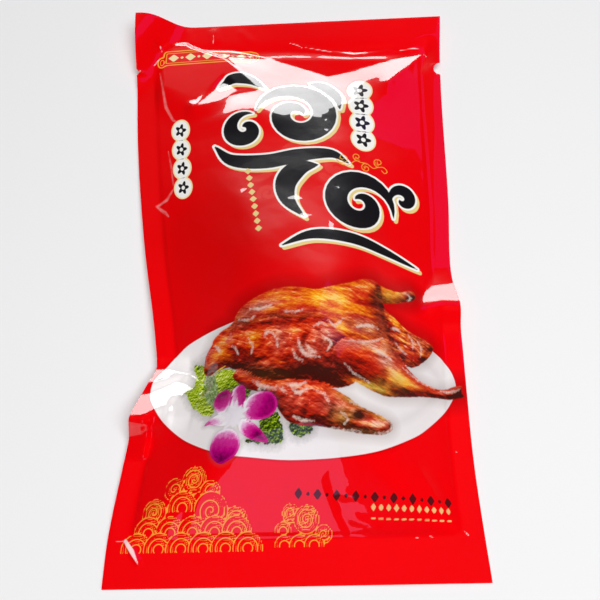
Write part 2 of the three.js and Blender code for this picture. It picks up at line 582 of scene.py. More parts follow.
@dataclass(frozen=True)
class Facet:
    """A flat field that a kink presses into the film, between two lines with the same ends.

    Attributes:
        upper, lower: Points of its two lines, from left to right.
        across, along: Its slopes, in plan.
        lift: How far it stands off the film's own height.
        above, under, beside: How far the film takes to ease back to its own form.
        steady: Whether the film beside it keeps its own slope.
    """

    upper: tuple[Point, ...]
    lower: tuple[Point, ...]
    across: float
    along: float
    lift: float = 0.0
    above: float = 16.0
    under: float = 24.0
    beside: float = 12.0
    steady: bool = False

    def press(self, flat: FlatFilm, x: Array, z: Array) -> Array:
        """Heights of the film with the facet in it.

        Args:
            flat: The film's grid, laid flat.
            x: Plan position across of each point; along, a point keeps its flat place.
            z: Its height before.

        Returns:
            The heights.
        """
        u, v = flat.u.reshape(flat.shape)[0], flat.v.reshape(flat.shape)[:, 0]
        off = (self.across * x + self.along * flat.v - z).reshape(flat.shape)
        first, last = self.upper[0][0], self.upper[-1][0]
        within = np.flatnonzero((u >= first) & (u <= last))
        lines = [np.interp(u, *np.array(line, float).T) for line in (self.upper, self.lower)]
        edges = [np.array([np.interp(end, v, column) for end, column in zip(line, off.T)])
                 for line in lines]
        base = self.lift - (edges[0] + edges[1])[within].mean() / 2
        move = off + base
        for edge, past in ((edges[0], (v[:, None] - lines[0]) / self.above),
                           (edges[1], (lines[1] - v[:, None]) / self.under)):
            move = np.where(past > 0, (edge + base) * (1 - smoothstep(0, 1, past)), move)
        if self.steady:
            move = move[:, np.clip(np.arange(len(u)), within[0], within[-1])]
        return z + (move * (1 - smoothstep(0, self.beside, np.maximum(first - u, u - last)))).ravel()
# ---------------------------------------------------------------- the front print


@dataclass
class FrontPrint:
    """What is printed on the front film, with the painted highlight streaks, as layers of distances and
    tones.

    Attributes:
        flat: The film's points, laid flat.
        step: Distance between two rows.
        cast: How far the painted curls' gold cast is set off.
        overlap: How far a part of the bird or a petal covers past its own outline.
        shadow: Depth of a part's shadow on those under it.
        shine: How tight the shine is.
    """

    flat: FlatFilm
    step: float
    cast: Place = (2.0, -2.4, 0.0)
    overlap: float = 1.2
    shadow: float = 0.55
    shine: int = 40

    def layers(self) -> Layers:
        """Every layer, by the name of its attribute."""
        flat, strokes = self.flat, self.flat.strokes
        ink = [brush(*stroke) for stroke in INK_STROKES]
        leaves = (flat.region(outline, 3, 12.0) for outline in LEAVES)
        return {
            "ink": strokes(ink), "ink_shade": strokes(line + self.cast for line in ink),
            "mist": strokes(np.insert(spiral(centre, size, 2, turns, start), 2, size * 0.24, 1)
                            for centre, size, turns, start in MIST),
            # Pale streaks of painted highlight along folds and edges.
            "highlight_streak": strokes(HIGHLIGHT_STREAKS), "faint_highlight_streak": strokes(FAINT_HIGHLIGHT_STREAKS),
            "dish": flat.region(DISH), "leaves": joined(flat.blank(), *leaves, soft=1.0),
            "blade": strokes([smooth_path(BLADE)]), "stem": strokes([smooth_path(STEM)]),
            **self.medallions(), **self.line_art(), **self.small_marks(), **self.bird(), **self.flower(),
        }

    def medallions(self) -> Layers:
        """Two columns of overlapping ovals, and each point's place in the nearest one."""
        layer, px, py = (self.flat.blank() for _ in range(3))
        for (u, v), radii, pitch in MEDALLIONS:
            for k in range(OVALS):
                centre = (u, v + pitch * ((OVALS - 1) / 2 - k))
                d = self.flat.ellipse(centre, radii)
                x, y = self.flat.turned(centre)
                px = np.where(d < layer, x / radii[0], px)
                py = np.where(d < layer, y / radii[1], py)
                layer = joined(layer, d)
        return {"medal": layer, "medal_x": px, "medal_y": py}

    def line_art(self) -> Layers:
        """Gold hairlines: the waves at the foot, as scales each over the last, and the small scroll."""
        side, near = self.flat.blank(), self.flat.blank()
        for u, v, radius, kind, turn in SCALES:
            across, along = self.flat.turned((u, v))
            r = np.hypot(across, along)
            inside = np.flatnonzero((r < radius + LINE_MARGIN) & (along > -kind.low * radius))
            r = r[inside]
            pitch = radius / max(round(radius / LINE_PITCH), 1)
            if kind is Scale.RINGS:
                d = r - np.clip(np.round(r / pitch), 1, None) * pitch
            else:
                angle = np.arctan2(along[inside], kind.value * across[inside]) / (2 * np.pi)
                phase = r / pitch - angle + turn
                d = (phase - np.round(phase)) * pitch
                d = np.where((r > radius - 0.5 * pitch) | (np.abs(r - radius) < np.abs(d)), r - radius, d)
            side[inside], near[inside] = d, np.abs(d)
        for line in SCROLL:
            at, close = self.flat.near(line, 6.0)
            for _, far, right in close.pieces(line):
                closer = far < near[at]
                side[at] = np.where(closer, np.where(right >= 0, far, -far), side[at])
                near[at] = np.where(closer, far, near[at])
        return {"gold_side": side, "gold_near": near}

    def small_marks(self) -> Layers:
        """Rows of small lozenges and bars, and the banner at the header."""
        flat, blank, lozenge = self.flat, self.flat.blank(), self.flat.lozenge
        dark = ((1.0 + 6.6 * k, -172.4 - 0.055 * (1.0 + 6.6 * k)) for k in range(17))
        pale = [53.0 + 5.3 * k for k in range(11)]
        charms = [(-99 + 14.6 * k, 195.8) for k in range(5)]
        return {
            "gold_marks": joined(blank, *(lozenge((-37.2 + 0.75 * k, 70.5 - 7.1 * k), (3.0, 3.2))
                                          for k in range(9))),
            "dark_marks": joined(blank, *(lozenge(at, ((2.9, 3.7), (1.5, 1.7))[k % 2])
                                          for k, at in enumerate(dark))),
            "pale_marks": joined(
                blank, *(lozenge((u, -181.4 - 0.05 * (u - 54)), (1.9, 2.5)) for u in pale),
                *(flat.box((u, -188.2 - 0.04 * (u - 54)), (1.8, 0.6), 0.3) for u in pale)),
            "charms": joined(blank, *(lozenge(at, (4.6, 4.2)) for at in charms),
                             *(flat.ellipse((u + 7.3, v), (1.3, 1.3)) for u, v in charms)),
            "banner": joined(flat.box((-69, 195.6), (38.5, 7.6), 3.0, -0.5),
                             flat.ellipse((-109, 191.5), (3.6, 5.2)),
                             flat.ellipse((-29, 196.0), (3.6, 5.6)), soft=3.0),
        }

    def bird(self) -> Layers:
        """The roast bird: its outline, its light, how red its skin is and where it is wet."""
        flat = self.flat
        outline = flat.blank()
        tone, red, wet, wrinkle = np.zeros((4, len(flat.u)))
        grain = flat.cloudy(7.0, 5, 4, (0.8, 1.3))
        for part in BIRD_PARTS:
            d = part.distance(flat)
            light, shine = self.lit(part.relief(flat, d, grain))
            over = d < self.overlap
            cast = 1 - self.shadow * np.exp(-np.clip(d, 0, None) / part.shade)
            tone = np.where(over, light, tone * cast)
            wet = np.where(over, shine * part.shine, wet * cast)
            red = np.where(over, part.red, red)
            wrinkle = np.where(over, part.wrinkle, wrinkle)
            outline = joined(outline, d)
        for *spot, more_tone, more_red, more_wet in BIRD_TINTS:
            here = flat.spot(*spot)
            tone += more_tone * here
            red += more_red * here
            wet += more_wet * here * np.clip(0.5 + grain, 0, 1.5)
        red += 0.22 * flat.cloudy(16, 8, 2)
        stains = {name: np.maximum.reduce([strength * flat.spot(*spot) for *spot, strength in spots])
                  for name, spots in BIRD_STAINS.items()}
        glint = flat.strokes((smooth_path(line, 5) for line in BIRD_GLINTS), 6.0)
        return {"bird": outline, "bird_tone": tone, "bird_red": red, "bird_wet": wet,
                "bird_wrinkle": wrinkle, "bird_glint": glint, **stains}

    def lit(self, height: Array) -> tuple[Array, Array]:
        """Soft light and bright shine on a drawn relief.

        Args:
            height: Its height at each point of the film's grid.

        Returns:
            The light and the shine, from 0 to 1.
        """
        along, across = np.gradient(blurred(height.reshape(self.flat.shape), 2), self.step)
        size = np.sqrt(1 + along**2 + across**2)
        sun = np.array(SUN) / np.linalg.norm(SUN)
        half = sun + (0, 0, 1)
        half /= np.linalg.norm(half)
        light, shine = ((ray[2] - ray[0] * across - ray[1] * along) / size for ray in (sun, half))
        return np.clip(light, SHADE, 1).ravel(), np.clip(shine, 0, 1).ravel() ** self.shine

    def flower(self) -> Layers:
        """The flower, with how deep its colour is, and its heart."""
        flat = self.flat
        petals, tone = flat.blank(), np.zeros(len(flat.u))
        for petal in PETALS:
            d = flat.region(petal.outline)
            tone = np.where(d < self.overlap, petal.shade(flat, d), tone)
            petals = joined(petals, d)
        angles = np.radians(360 / len(STAMENS) * np.arange(len(STAMENS)) + STAMEN_TURN)
        ends = np.c_[np.cos(angles), np.sin(angles)] * np.array(STAMENS)[:, None] + FLOWER
        heart = flat.strokes([(*FLOWER, 3.4), (*end, 0.4)] for end in ends)
        return {"petals": petals, "petal_tone": tone, "flower_heart": heart}


@dataclass(frozen=True)
class BirdPart:
    """One rounded part of the bird, later ones lying over earlier ones.

    Attributes:
        outline: Its closed outline, or the middle line and half widths of a limb.
        folds: Folds in its skin.
        limb: Whether it is a limb.
        round: Radius of its edge, which shades it.
        bulge: How tall it stands for that radius.
        grain: Height of the roughness of its skin.
        red: 0 for golden skin, 1 for dark red skin.
        wrinkle: How strongly its skin is wrinkled.
        shade: Reach of the shadow that it casts on what is under it.
        shine: Strength of its shine.
    """

    outline: tuple
    folds: tuple[Crease, ...] = ()
    limb: bool = False
    round: float = 20.0
    bulge: float = 0.8
    grain: float = 0.8
    red: float = 0.5
    wrinkle: float = 0.6
    shade: float = 4.0
    shine: float = 1.0

    def distance(self, flat: FlatFilm) -> Array:
        """Distance to its outline.

        Args:
            flat: The film's points, laid flat.

        Returns:
            The distance at each point.
        """
        if self.limb:
            return flat.strokes([smooth_path(self.outline)], 40.0)
        return flat.region(self.outline)

    def relief(self, flat: FlatFilm, d: Array, grain: Array) -> Array:
        """Its drawn height.

        Args:
            flat: The film's points, laid flat.
            d: Their distance to its outline.
            grain: The roughness of the skin.

        Returns:
            The height at each point.
        """
        depth = np.clip(-d, 0, self.round)
        dome = np.sqrt(np.clip(2 * self.round * depth - depth**2, 0, None)) * self.bulge
        return dome + grain * self.grain + sum(fold.height(flat) for fold in self.folds)


@dataclass(frozen=True)
class Petal:
    """One petal of the flower.

    Attributes:
        outline: Its closed outline.
        root: Where it is palest.
        tip: From there to where it is deepest.
        tone: How deep its colour gets.
        spread: How late it gets there.
        reach: How far past the tip it still deepens, as a share of the way.
        rim: How much paler its rim is, how far inside the outline, and how wide.
    """

    outline: tuple[Point, ...]
    root: Point
    tip: Point
    tone: float
    spread: float
    reach: float = 1.1
    rim: Place = (0.25, 0.6, 0.9)

    def shade(self, flat: FlatFilm, d: Array) -> Array:
        """How deep its colour is, with a paler rim.

        Args:
            flat: The film's points, laid flat.
            d: Their distance to its outline.

        Returns:
            The depth of colour at each point.
        """
        x, y = flat.turned(self.root)
        length = self.tip[0] ** 2 + self.tip[1] ** 2
        deep = np.clip((x * self.tip[0] + y * self.tip[1]) / length, 0, self.reach)
        paler, inset, width = self.rim
        return self.tone * deep**self.spread - paler * np.exp(-((d + inset) / width) ** 2)


class Scale(Enum):
    """How a round scale of the gold waves is filled."""

    RINGS = 0
    CURL = 1
    CURL_BACK = -1

    @property
    def low(self) -> float:
        """How far down it reaches, in radii."""
        return 0.3 if self is Scale.RINGS else 1.1


def wave(left: float, count: int, low: float, radius: float) -> list[tuple]:
    """A row of ringed scales, side by side."""
    return [(left + 1.5 * radius * k, low, radius, Scale.RINGS, 0.0) for k in range(count)]


# The painted curls, sweeps and dabs: line, half width, and where along it that is.
INK_STROKES = (
    (spiral((6, 126), 34, 5, -1.45, 172), 9.6, 0.36), (spiral((-38, 112), 16, 3, 1.15, 64), 6.4, 0.4),
    (smooth_path([(-60, 160), (-48, 168), (-34, 166), (-20, 156)]), 5.2, 0.5),
    (smooth_path([(-64, 100), (-50, 84), (-22, 78), (8, 84), (32, 86), (46, 78)]), 6.8, 0.42),
    (smooth_path([(18, 164), (30, 160), (40, 148), (42, 134)]), 4.6, 0.4),
    (spiral((52, 40), 30, 5, 1.4, -14), 8.8, 0.36),
    (smooth_path([(20, 74), (4, 70), (-7, 56), (-6, 38), (6, 22)]), 8.4, 0.4),
    (spiral((90, 52), 11, 3, -1.0, 200), 4.8, 0.4),
    (smooth_path([(-14, -4), (12, 6), (44, 6), (72, 0), (100, -8)]), 4.6, 0.45),
)
# The clouds' spirals: middle, size, turns and start. The ovals' columns: middle, radii and pitch.
MIST = (((-28, 74), 13, 1.2, 250), ((2, 88), 11, -1.2, 300), ((34, 72), 14, 1.3, 220),
        ((-22, 46), 8, -1.2, 200))
MEDALLIONS = (((-92.6, 94.0), (7.2, 9.4), 18.4), ((59.8, 129.5), (9.8, 10.4), 17.0))
OVALS = 4
# The scroll by the upper ovals.
SCROLL = (
    spiral((41, 83), 5.6, 1.2, 1.25, 200), spiral((53, 86), 4.2, 1.0, -1.2, 290),
    spiral((60, 76), 4.4, 1.0, 1.2, 100), spiral((71, 83), 4.6, 1.0, -1.2, 250),
    smooth_path([(35.5, 81), (39, 76.5), (46, 77), (51, 81.5), (56, 81), (61, 80.6), (66, 77),
                 (70, 78.4)]),
    smooth_path([(70, 78.4), (75, 79), (78, 75.6), (75.6, 73.4), (73.6, 75.4)]),
)
# Scales of the gold waves: middle, radius, filling and turn. Later ones lie over earlier ones.
LINE_PITCH = 3.4
LINE_MARGIN = 0.6
SCALES = (
    (-86, -168, 7.2, Scale.CURL_BACK, 0.3), (-72, -163, 8.7, Scale.CURL, 0.1),
    (-60, -171, 7.2, Scale.CURL_BACK, 0), (-99, -182, 8.7, Scale.CURL, 0.2),
    (-79, -180, 10.2, Scale.RINGS, 0), (-42, -188, 8.7, Scale.CURL_BACK, 0.2),
    (-59, -182, 11.6, Scale.CURL, 0.6), *wave(-102, 5, -195, 10.2), *wave(-109.6, 6, -205, 10.2),
    (-4, -184, 5.8, Scale.CURL, 0.3), (7, -188, 8.7, Scale.CURL_BACK, 0.1), (-9, -195, 5.8, Scale.RINGS, 0),
    (19, -197, 5.8, Scale.CURL, 0.5), *wave(-8, 3, -204, 6.8),
)
# Painted highlights: pale streaks along folds, corners and the header line that stand in for the gloss
# mirroring the light; points with half widths.
HIGHLIGHT_STREAKS = (
    ((-117.5, -199, 1.1), (-112, -206, 1.5), (-107, -214, 0.4)),
    ((-117.5, -199.6, 0.3), (-124, -199.4, 0.2)), ((1, 209.5, 0.3), (8, 207, 0.45), (12, 204.5, 0.2)),
    ((14, 205, 0.2), (33, 201, 0.5), (38, 200, 0.2)),
    ((96, 199.2, 0.2), (108, 200.4, 0.5), (113, 200, 0.2)), ((117, 195.5, 0.6), (119, 193, 0.3)),
    ((82, -200, 0.4), (84, -200.4, 0.3)), ((92, -199.6, 0.5), (94, -200, 0.4)),
    ((116, -196, 0.2), (118.5, -199, 0.6)), ((117.6, -143, 0.5), (118.2, -143.3, 0.4)),
    ((-111, 208, 0.5), (-109.5, 203, 0.2)), ((-116, 189, 0.3), (-112, 195, 0.4)),
    ((-66, 211, 0.2), (-65, 217, 0.35), (-66, 221, 0.2)),
)
# Fainter painted highlights: patchy pale streaks along the left seal.
FAINT_HIGHLIGHT_STREAKS = (
    ((-110.5, 181, 0.3), (-107, 160, 0.8), (-105, 146, 1.2), (-99, 133, 0.9), (-94, 129, 0.2)),
    ((-101, 67, 0.4), (-108, 58, 1.2), (-117, 54, 0.8), (-110, 47, 1.4), (-107, 43, 0.3)),
    ((-104, 104, 0.2), (-102, 88, 0.8), (-101, 70, 0.3)),
)
SUN = (-0.25, 0.55, 0.8)
SHADE = 0.3
DISH = (
    (-126, -92), (-125, -85), (-119, -77), (-110, -70), (-100, -65), (-80, -60), (-61, -57.5), (-30, -54),
    (0, -52.5), (40, -55), (80, -63), (103, -73), (113, -80), (119, -88), (121.5, -98), (118, -107),
    (112, -115), (105, -121.5), (95, -129.5), (85, -136), (65, -145), (50, -149.5), (30, -152), (10, -153),
    (-10, -153), (-30, -151.5), (-50, -149.5), (-63, -145.5), (-75, -140.5), (-85, -135.5), (-95, -129),
    (-105, -121.5), (-114, -112.5), (-122, -103),
)
BIRD_PARTS = (
    BirdPart(limb=True, round=6, grain=0.5, red=0.2, outline=(
        (58, -38, 7.6), (66, -38, 6.2), (74, -37, 4.6), (81, -35.4, 3.8), (86, -33.4, 4.2),
        (89.5, -31.4, 3.6))),
    BirdPart(round=5, grain=1.6, red=1.2, wrinkle=1.4, shade=2, outline=(
        (-34, -99), (-10, -98), (12, -97), (26, -99), (37, -104), (34, -109), (22, -111.5), (8, -110),
        (-10, -108), (-28, -106))),
    BirdPart(round=9, bulge=0.9, grain=1.6, red=0.85, wrinkle=1.5, shine=1.5, outline=(
        (60, -45), (64, -51), (70, -54.5), (78, -60), (86, -63.5), (95, -65.5), (101, -67.5), (103.5, -71),
        (99, -78), (92, -84), (85, -88.5), (78, -89), (69, -84), (62, -72)), folds=(
        fold(-3, 4, (60, -64), (66, -63.5), (73, -67), (80, -75), power=1.4),
        fold(-2.2, 4, (74, -58), (84, -68), (92, -80), power=1.4),
        fold(1.8, 3, (86, -64), (92, -71), (98, -76), power=1.4))),
    BirdPart(round=26, bulge=0.66, grain=0.7, red=0.7, wrinkle=0.5, shine=0.7, outline=(
        (-80, -70), (-72, -62), (-65, -60), (-60, -57), (-57, -52), (-50, -47), (-40, -43), (-28, -39.8),
        (-15, -39), (-3, -40.3), (7, -42), (15, -40), (25, -37), (35, -34), (44, -30), (52, -28),
        (58.5, -28.5), (60.5, -33), (60.5, -45), (61.5, -58), (64, -69), (68, -79), (73, -88), (66, -98),
        (30, -104), (-20, -98), (-60, -90)), folds=(
        fold(-2.2, 6, (7, -41), (3, -48), (8, -56), (4, -64), lean=0.3, power=1.4),
        fold(-2, 5, (54, -27), (56, -44), (57, -60), (61, -76), lean=0.3, power=1.4),
        fold(-1.2, 2.5, (36, -49), (46, -50), (56, -49), power=1.2, fade=0.3),
        fold(-1.2, 2.5, (-26, -53), (-8, -54), (6, -54), power=1.2, fade=0.3),
        fold(2, 5, (-54, -57), (-44, -51), (-30, -52), (-22, -58), power=1.4, fade=0.3),
        fold(1.6, 4, (-48, -60), (-38, -56), (-30, -60), power=1.4, fade=0.3))),
    BirdPart(bulge=0.78, grain=0.9, red=1.1, wrinkle=0.85, shade=3, shine=1.25, outline=(
        (-87.5, -84), (-86.5, -76), (-81, -69), (-73, -63), (-64, -61), (-52, -63), (-42, -63),
        (-32, -61.5), (-20, -64), (-8, -65), (4, -65), (13, -67), (20, -72), (27, -80), (33, -90),
        (33, -99), (24, -103), (10, -102), (-4, -101), (-20, -105), (-34, -101.5), (-46, -95.5),
        (-56, -90.5), (-66, -88), (-76, -90), (-84, -89)), folds=(
        fold(2.8, 4.5, (-3, -69), (-10, -77), (-9, -86), (0, -91), (9, -92)),
        fold(-2.6, 4, (2, -73), (-4, -79), (-2, -85), fade=0.25),
        fold(2.4, 4.5, (-22, -67), (-26, -76), (-22, -84), (-14, -90)),
        fold(-2.6, 4, (-15, -68), (-18, -76), (-12, -84), fade=0.25),
        fold(-3, 5, (-33, -70), (-37, -80), (-30, -92)), fold(2.2, 5, (-43, -67), (-47, -76), (-40, -88)),
        fold(-2.6, 5, (-53, -66), (-60, -75), (-56, -86)), fold(2.2, 5, (-66, -65), (-74, -74), (-70, -83)),
        fold(2.4, 4.5, (10, -69), (16, -76), (24, -90)), fold(-2.6, 4.5, (6, -70), (10, -80), (19, -93)),
        fold(2, 3.5, (15, -70), (22, -65), (28, -67)))),
    BirdPart(round=14, grain=0.6, red=1, wrinkle=0.5, shade=2.4, outline=(
        (18, -88), (23, -80), (32, -77.5), (42, -78.5), (50, -76), (58, -73), (64, -75), (69, -82),
        (76, -88.5), (84, -94), (93, -98.2), (105, -100.3), (112, -99.8), (117, -98.2), (121, -97.2),
        (127, -97.5), (125, -99.5), (128.5, -101), (125, -102), (128.5, -104.5), (122, -106), (117, -106.6),
        (105, -107), (92, -108), (76, -111), (60, -112.8), (44, -109), (32, -103.5), (22, -99)), folds=(
        fold(-2.4, 3.6, (26, -82), (36, -81), (48, -79), (58, -75), lean=0.4, power=1.2),
        fold(1.8, 5, (34, -84), (48, -83), (60, -84), (70, -92), power=1.4, fade=0.25),
        fold(-1.8, 5, (58, -94), (62, -100), (60, -108), power=1.4, fade=0.3))),
    BirdPart(round=11, bulge=0.85, grain=1.2, red=1.25, wrinkle=0.85, shade=3, shine=1.3, outline=(
        (-58, -95), (-56, -91.5), (-50, -93.5), (-40, -98.5), (-30, -103.5), (-20, -105.5), (-5, -106),
        (10, -108), (22, -112), (32, -116), (40, -120.5), (50, -124), (60, -126.5), (66, -129.5),
        (66, -134), (60, -137.5), (50, -138.5), (40, -138), (28, -136.5), (14, -134.5), (0, -133.5),
        (-9, -131), (-16, -124), (-21, -117), (-31, -111), (-42, -107), (-51, -101)), folds=(
        fold(2.2, 5, (-18, -108), (-8, -114), (-6, -124)),
        fold(-2.6, 4.5, (-2, -109), (6, -116), (4, -130)), fold(2, 4, (12, -112), (20, -121), (18, -133)),
        fold(-2.4, 3, (20, -118), (30, -121), (42, -123), power=1.2),
        fold(-2.8, 3, (30, -124), (40, -130), (56, -131), (64, -132), power=1.2),
        fold(1.6, 2.5, (36, -127), (42, -124), (50, -127), power=1.2),
        fold(-1.8, 2.5, (24, -134), (40, -136), (56, -137), power=1.2))),
)
# Tints on the bird: middle, reach along and across its angle, and what it adds to light, red and wetness.
BIRD_TINTS = (
    (22, -46, 16, 6, 4, 0.14, -0.5, -0.1), (26, -56, 20, 5, -4, 0.04, -0.3, -0.1),
    (46, -53, 12, 3, 0, 0.06, -0.4, -0.1), (6, -48, 8, 4, 0, 0.04, -0.4, 0),
    (42, -42, 14, 4, 8, -0.14, 0.6, 0), (41, -48.5, 9, 2, 2, -0.26, 0.9, 0),
    (44, -62, 14, 5, -8, 0.04, 0.2, 0), (42, -71, 10, 4, 10, 0.1, 0, 0.35),
    (-36, -53, 12, 4, 6, 0.02, 0.5, 0.5), (-50, -56, 10, 5, 20, -0.22, 0.4, 0.1),
    (-14, -45, 24, 4, 2, 0.02, -0.1, 0), (-12, -59, 26, 4, 0, -0.16, 0.4, 0),
    (-40, -64, 26, 2.4, -2, -0.35, 0.3, 0), (0, -65.5, 20, 2, 0, -0.35, 0.3, 0),
    (58, -46, 4, 16, 0, -0.08, 0.3, 0), (28, -32, 24, 3, 14, -0.05, 0.5, 0),
    (-74, -72, 9, 6, 40, 0.1, -0.5, 0.15), (-72, -82, 14, 3.4, 0, 0.12, -0.75, 0),
    (-46, -76, 8, 6, 0, 0.06, -0.5, 0), (-8, -70, 12, 4, 0, 0, 0.1, 0.3),
    (-3, -88, 12, 5, -20, 0.04, 0.15, 0.5), (-22, -78, 6, 9, 0, 0, 0.15, 0.45),
    (20, -68, 7, 5, 30, 0.1, -0.2, 0.6), (-30, -99, 30, 4, -10, -0.16, 0.3, -0.3),
    (10, -98, 22, 6, 0, -0.16, 0.3, -0.2), (-60, -88, 18, 4, 8, -0.14, 0.1, 0),
    (30, -90, 10, 8, 0, -0.14, 0.3, -0.2), (56, -85, 14, 4, -14, 0.2, -0.3, 0.5),
    (64, -92, 8, 4, -30, 0.22, -0.2, 0.3), (50, -100, 16, 6, -8, -0.2, 0.4, -0.2),
    (72, -99, 10, 4.4, -16, 0.26, -0.9, 0), (82, -103, 10, 3.4, -8, 0.14, -0.6, 0),
    (48, -107.5, 20, 2.4, -4, 0.2, -0.9, 0), (72, -108, 14, 2.2, 4, -0.2, 0.5, 0),
    (100, -103, 10, 3, 0, -0.1, 0.4, 0.1), (120, -102, 9, 6, 0, -0.32, 0.6, 0.3),
    (66, -38, 8, 6, 0, 0.04, -0.3, 0), (88, -32, 5, 5, 0, -0.3, 0.9, 0.3),
    (70, -57, 6, 4, -30, 0.28, -0.8, 0), (67, -65, 5, 1.4, 10, -0.5, 0.3, 0),
    (94, -68, 10, 3.4, -12, -0.22, 0.1, 0), (82, -79, 10, 6, -40, 0.02, 0.2, 0.4),
    (-36, -101.5, 22, 2.4, -20, 0.12, -0.5, 0.4), (-6, -109.5, 14, 3, -4, 0.16, 0, 1),
    (20, -114, 14, 3, -16, 0.14, -0.5, 0.2), (-8, -116, 12, 5, -10, -0.02, 0.2, 0),
    (8, -124, 14, 6, 0, -0.1, -0.2, 0.2), (38, -127, 7, 3, 0, -0.45, 0.1, 0.1),
    (54, -132, 9, 3.2, 4, 0.26, -0.45, 0), (41, -126.6, 3, 2, -20, -0.5, 0.1, 0),
    (36, -125, 2, 4, -20, 0.2, -0.3, 0.2), (62, -129.5, 4, 3, -10, 0.02, -0.2, 0.2),
    (46, -122, 14, 2.6, -14, -0.3, 0.1, 0), (30, -135.5, 20, 1.8, -4, -0.1, 0.2, 0.1),
    (38, -106, 16, 2.6, -12, 0.4, -0.6, 0), (56, -109.5, 14, 1.8, -2, 0.34, -0.4, 0),
    (14, -104, 22, 4, -4, -0.4, 0.8, -0.3), (40, -94, 16, 6, -10, -0.1, 0.7, 0),
    (8, -82, 14, 8, 0, -0.06, 0.5, 0), (-34, -78, 5, 7, 0, -0.04, 0.9, 0),
    (-20, -118, 8, 8, 0, -0.1, 0.5, 0), (86, -34, 5, 4, 0, -0.1, 0.8, 0),
    (17, -70, 9, 7, 0, 0.12, -0.35, 0.1), (22, -71, 6, 5, 0, 0.32, -0.2, 0),
    (38, -60, 8, 3, 0, -0.08, 0.6, 0), (24, -104, 10, 5, -10, 0.06, 0.9, 0.3),
    (-20, -90, 24, 5, 0, 0.08, -0.2, 0), (42, -76, 12, 6, 0, -0.08, 0, 0),
    (8, -121, 14, 7, 0, -0.12, 0.1, 0), (68, -62, 12, 12, 0, 0.1, 0, 0),
    (-44, -46, 16, 6, 20, -0.08, 0.3, 0), (68, -102, 8, 4, -20, 0.12, -0.4, 0),
    (66, -38, 8, 4, 0, 0.2, 0, 0),
)
# Stains of other skin colours: middle, reach along and across its angle, and strength.
BIRD_STAINS = {
    "bird_olive": ((66, -39, 9, 5, 0, 1), (76, -37, 7, 3, 20, 0.6), (70, -101, 9, 6, -20, 1),
        (60, -105, 8, 4, -10, 0.9), (52, -108.5, 15, 3.2, -8, 1.8), (82, -101, 12, 2.4, -10, 0.5),
        (-30, -98, 18, 4, -14, 0.4), (44, -120, 18, 3.4, -16, 1.4), (58, -126, 9, 2.4, -10, 1.4),
        (30, -128, 8, 5, 0, 1.2), (44, -137, 16, 1.6, 0, 1)),
    "bird_grey": ((-42, -52, 14, 4, 8, 0.8), (-52, -57, 12, 5, 14, 0.7), (-20, -60, 30, 3.4, 0, 0.35),
        (44, -67, 18, 6, -6, 0.75), (40, -80, 22, 3.4, 4, 0.6), (58, -60, 5, 22, 0, 0.5),
        (62, -80, 12, 8, -30, 0.5), (60, -89, 10, 5, -25, 0.8), (90, -70, 12, 8, -30, 0.35),
        (118, -102, 12, 6, 0, 0.5), (24, -124, 12, 7, -10, 0.6), (64, -131, 4, 6, 0, 0.9),
        (40, -137, 24, 2.4, 0, 0.9), (54, -132, 11, 3.6, 4, 0.7), (40, -126.5, 8, 4, -10, 0.8),
        (-2, -86, 12, 5, -20, 0.6), (-24, -76, 6, 9, 0, 0.4), (14, -79, 10, 8, -20, 0.7),
        (46, -68, 9, 4, 0, 0.6), (-44, -92, 30, 4, -14, 0.5), (4, -98, 26, 5, 0, 0.4),
        (-80, -84, 10, 6, -20, 0.3), (86, -32, 7, 6, 0, 0.5), (-10, -120, 14, 10, 0, 0.3)),
}
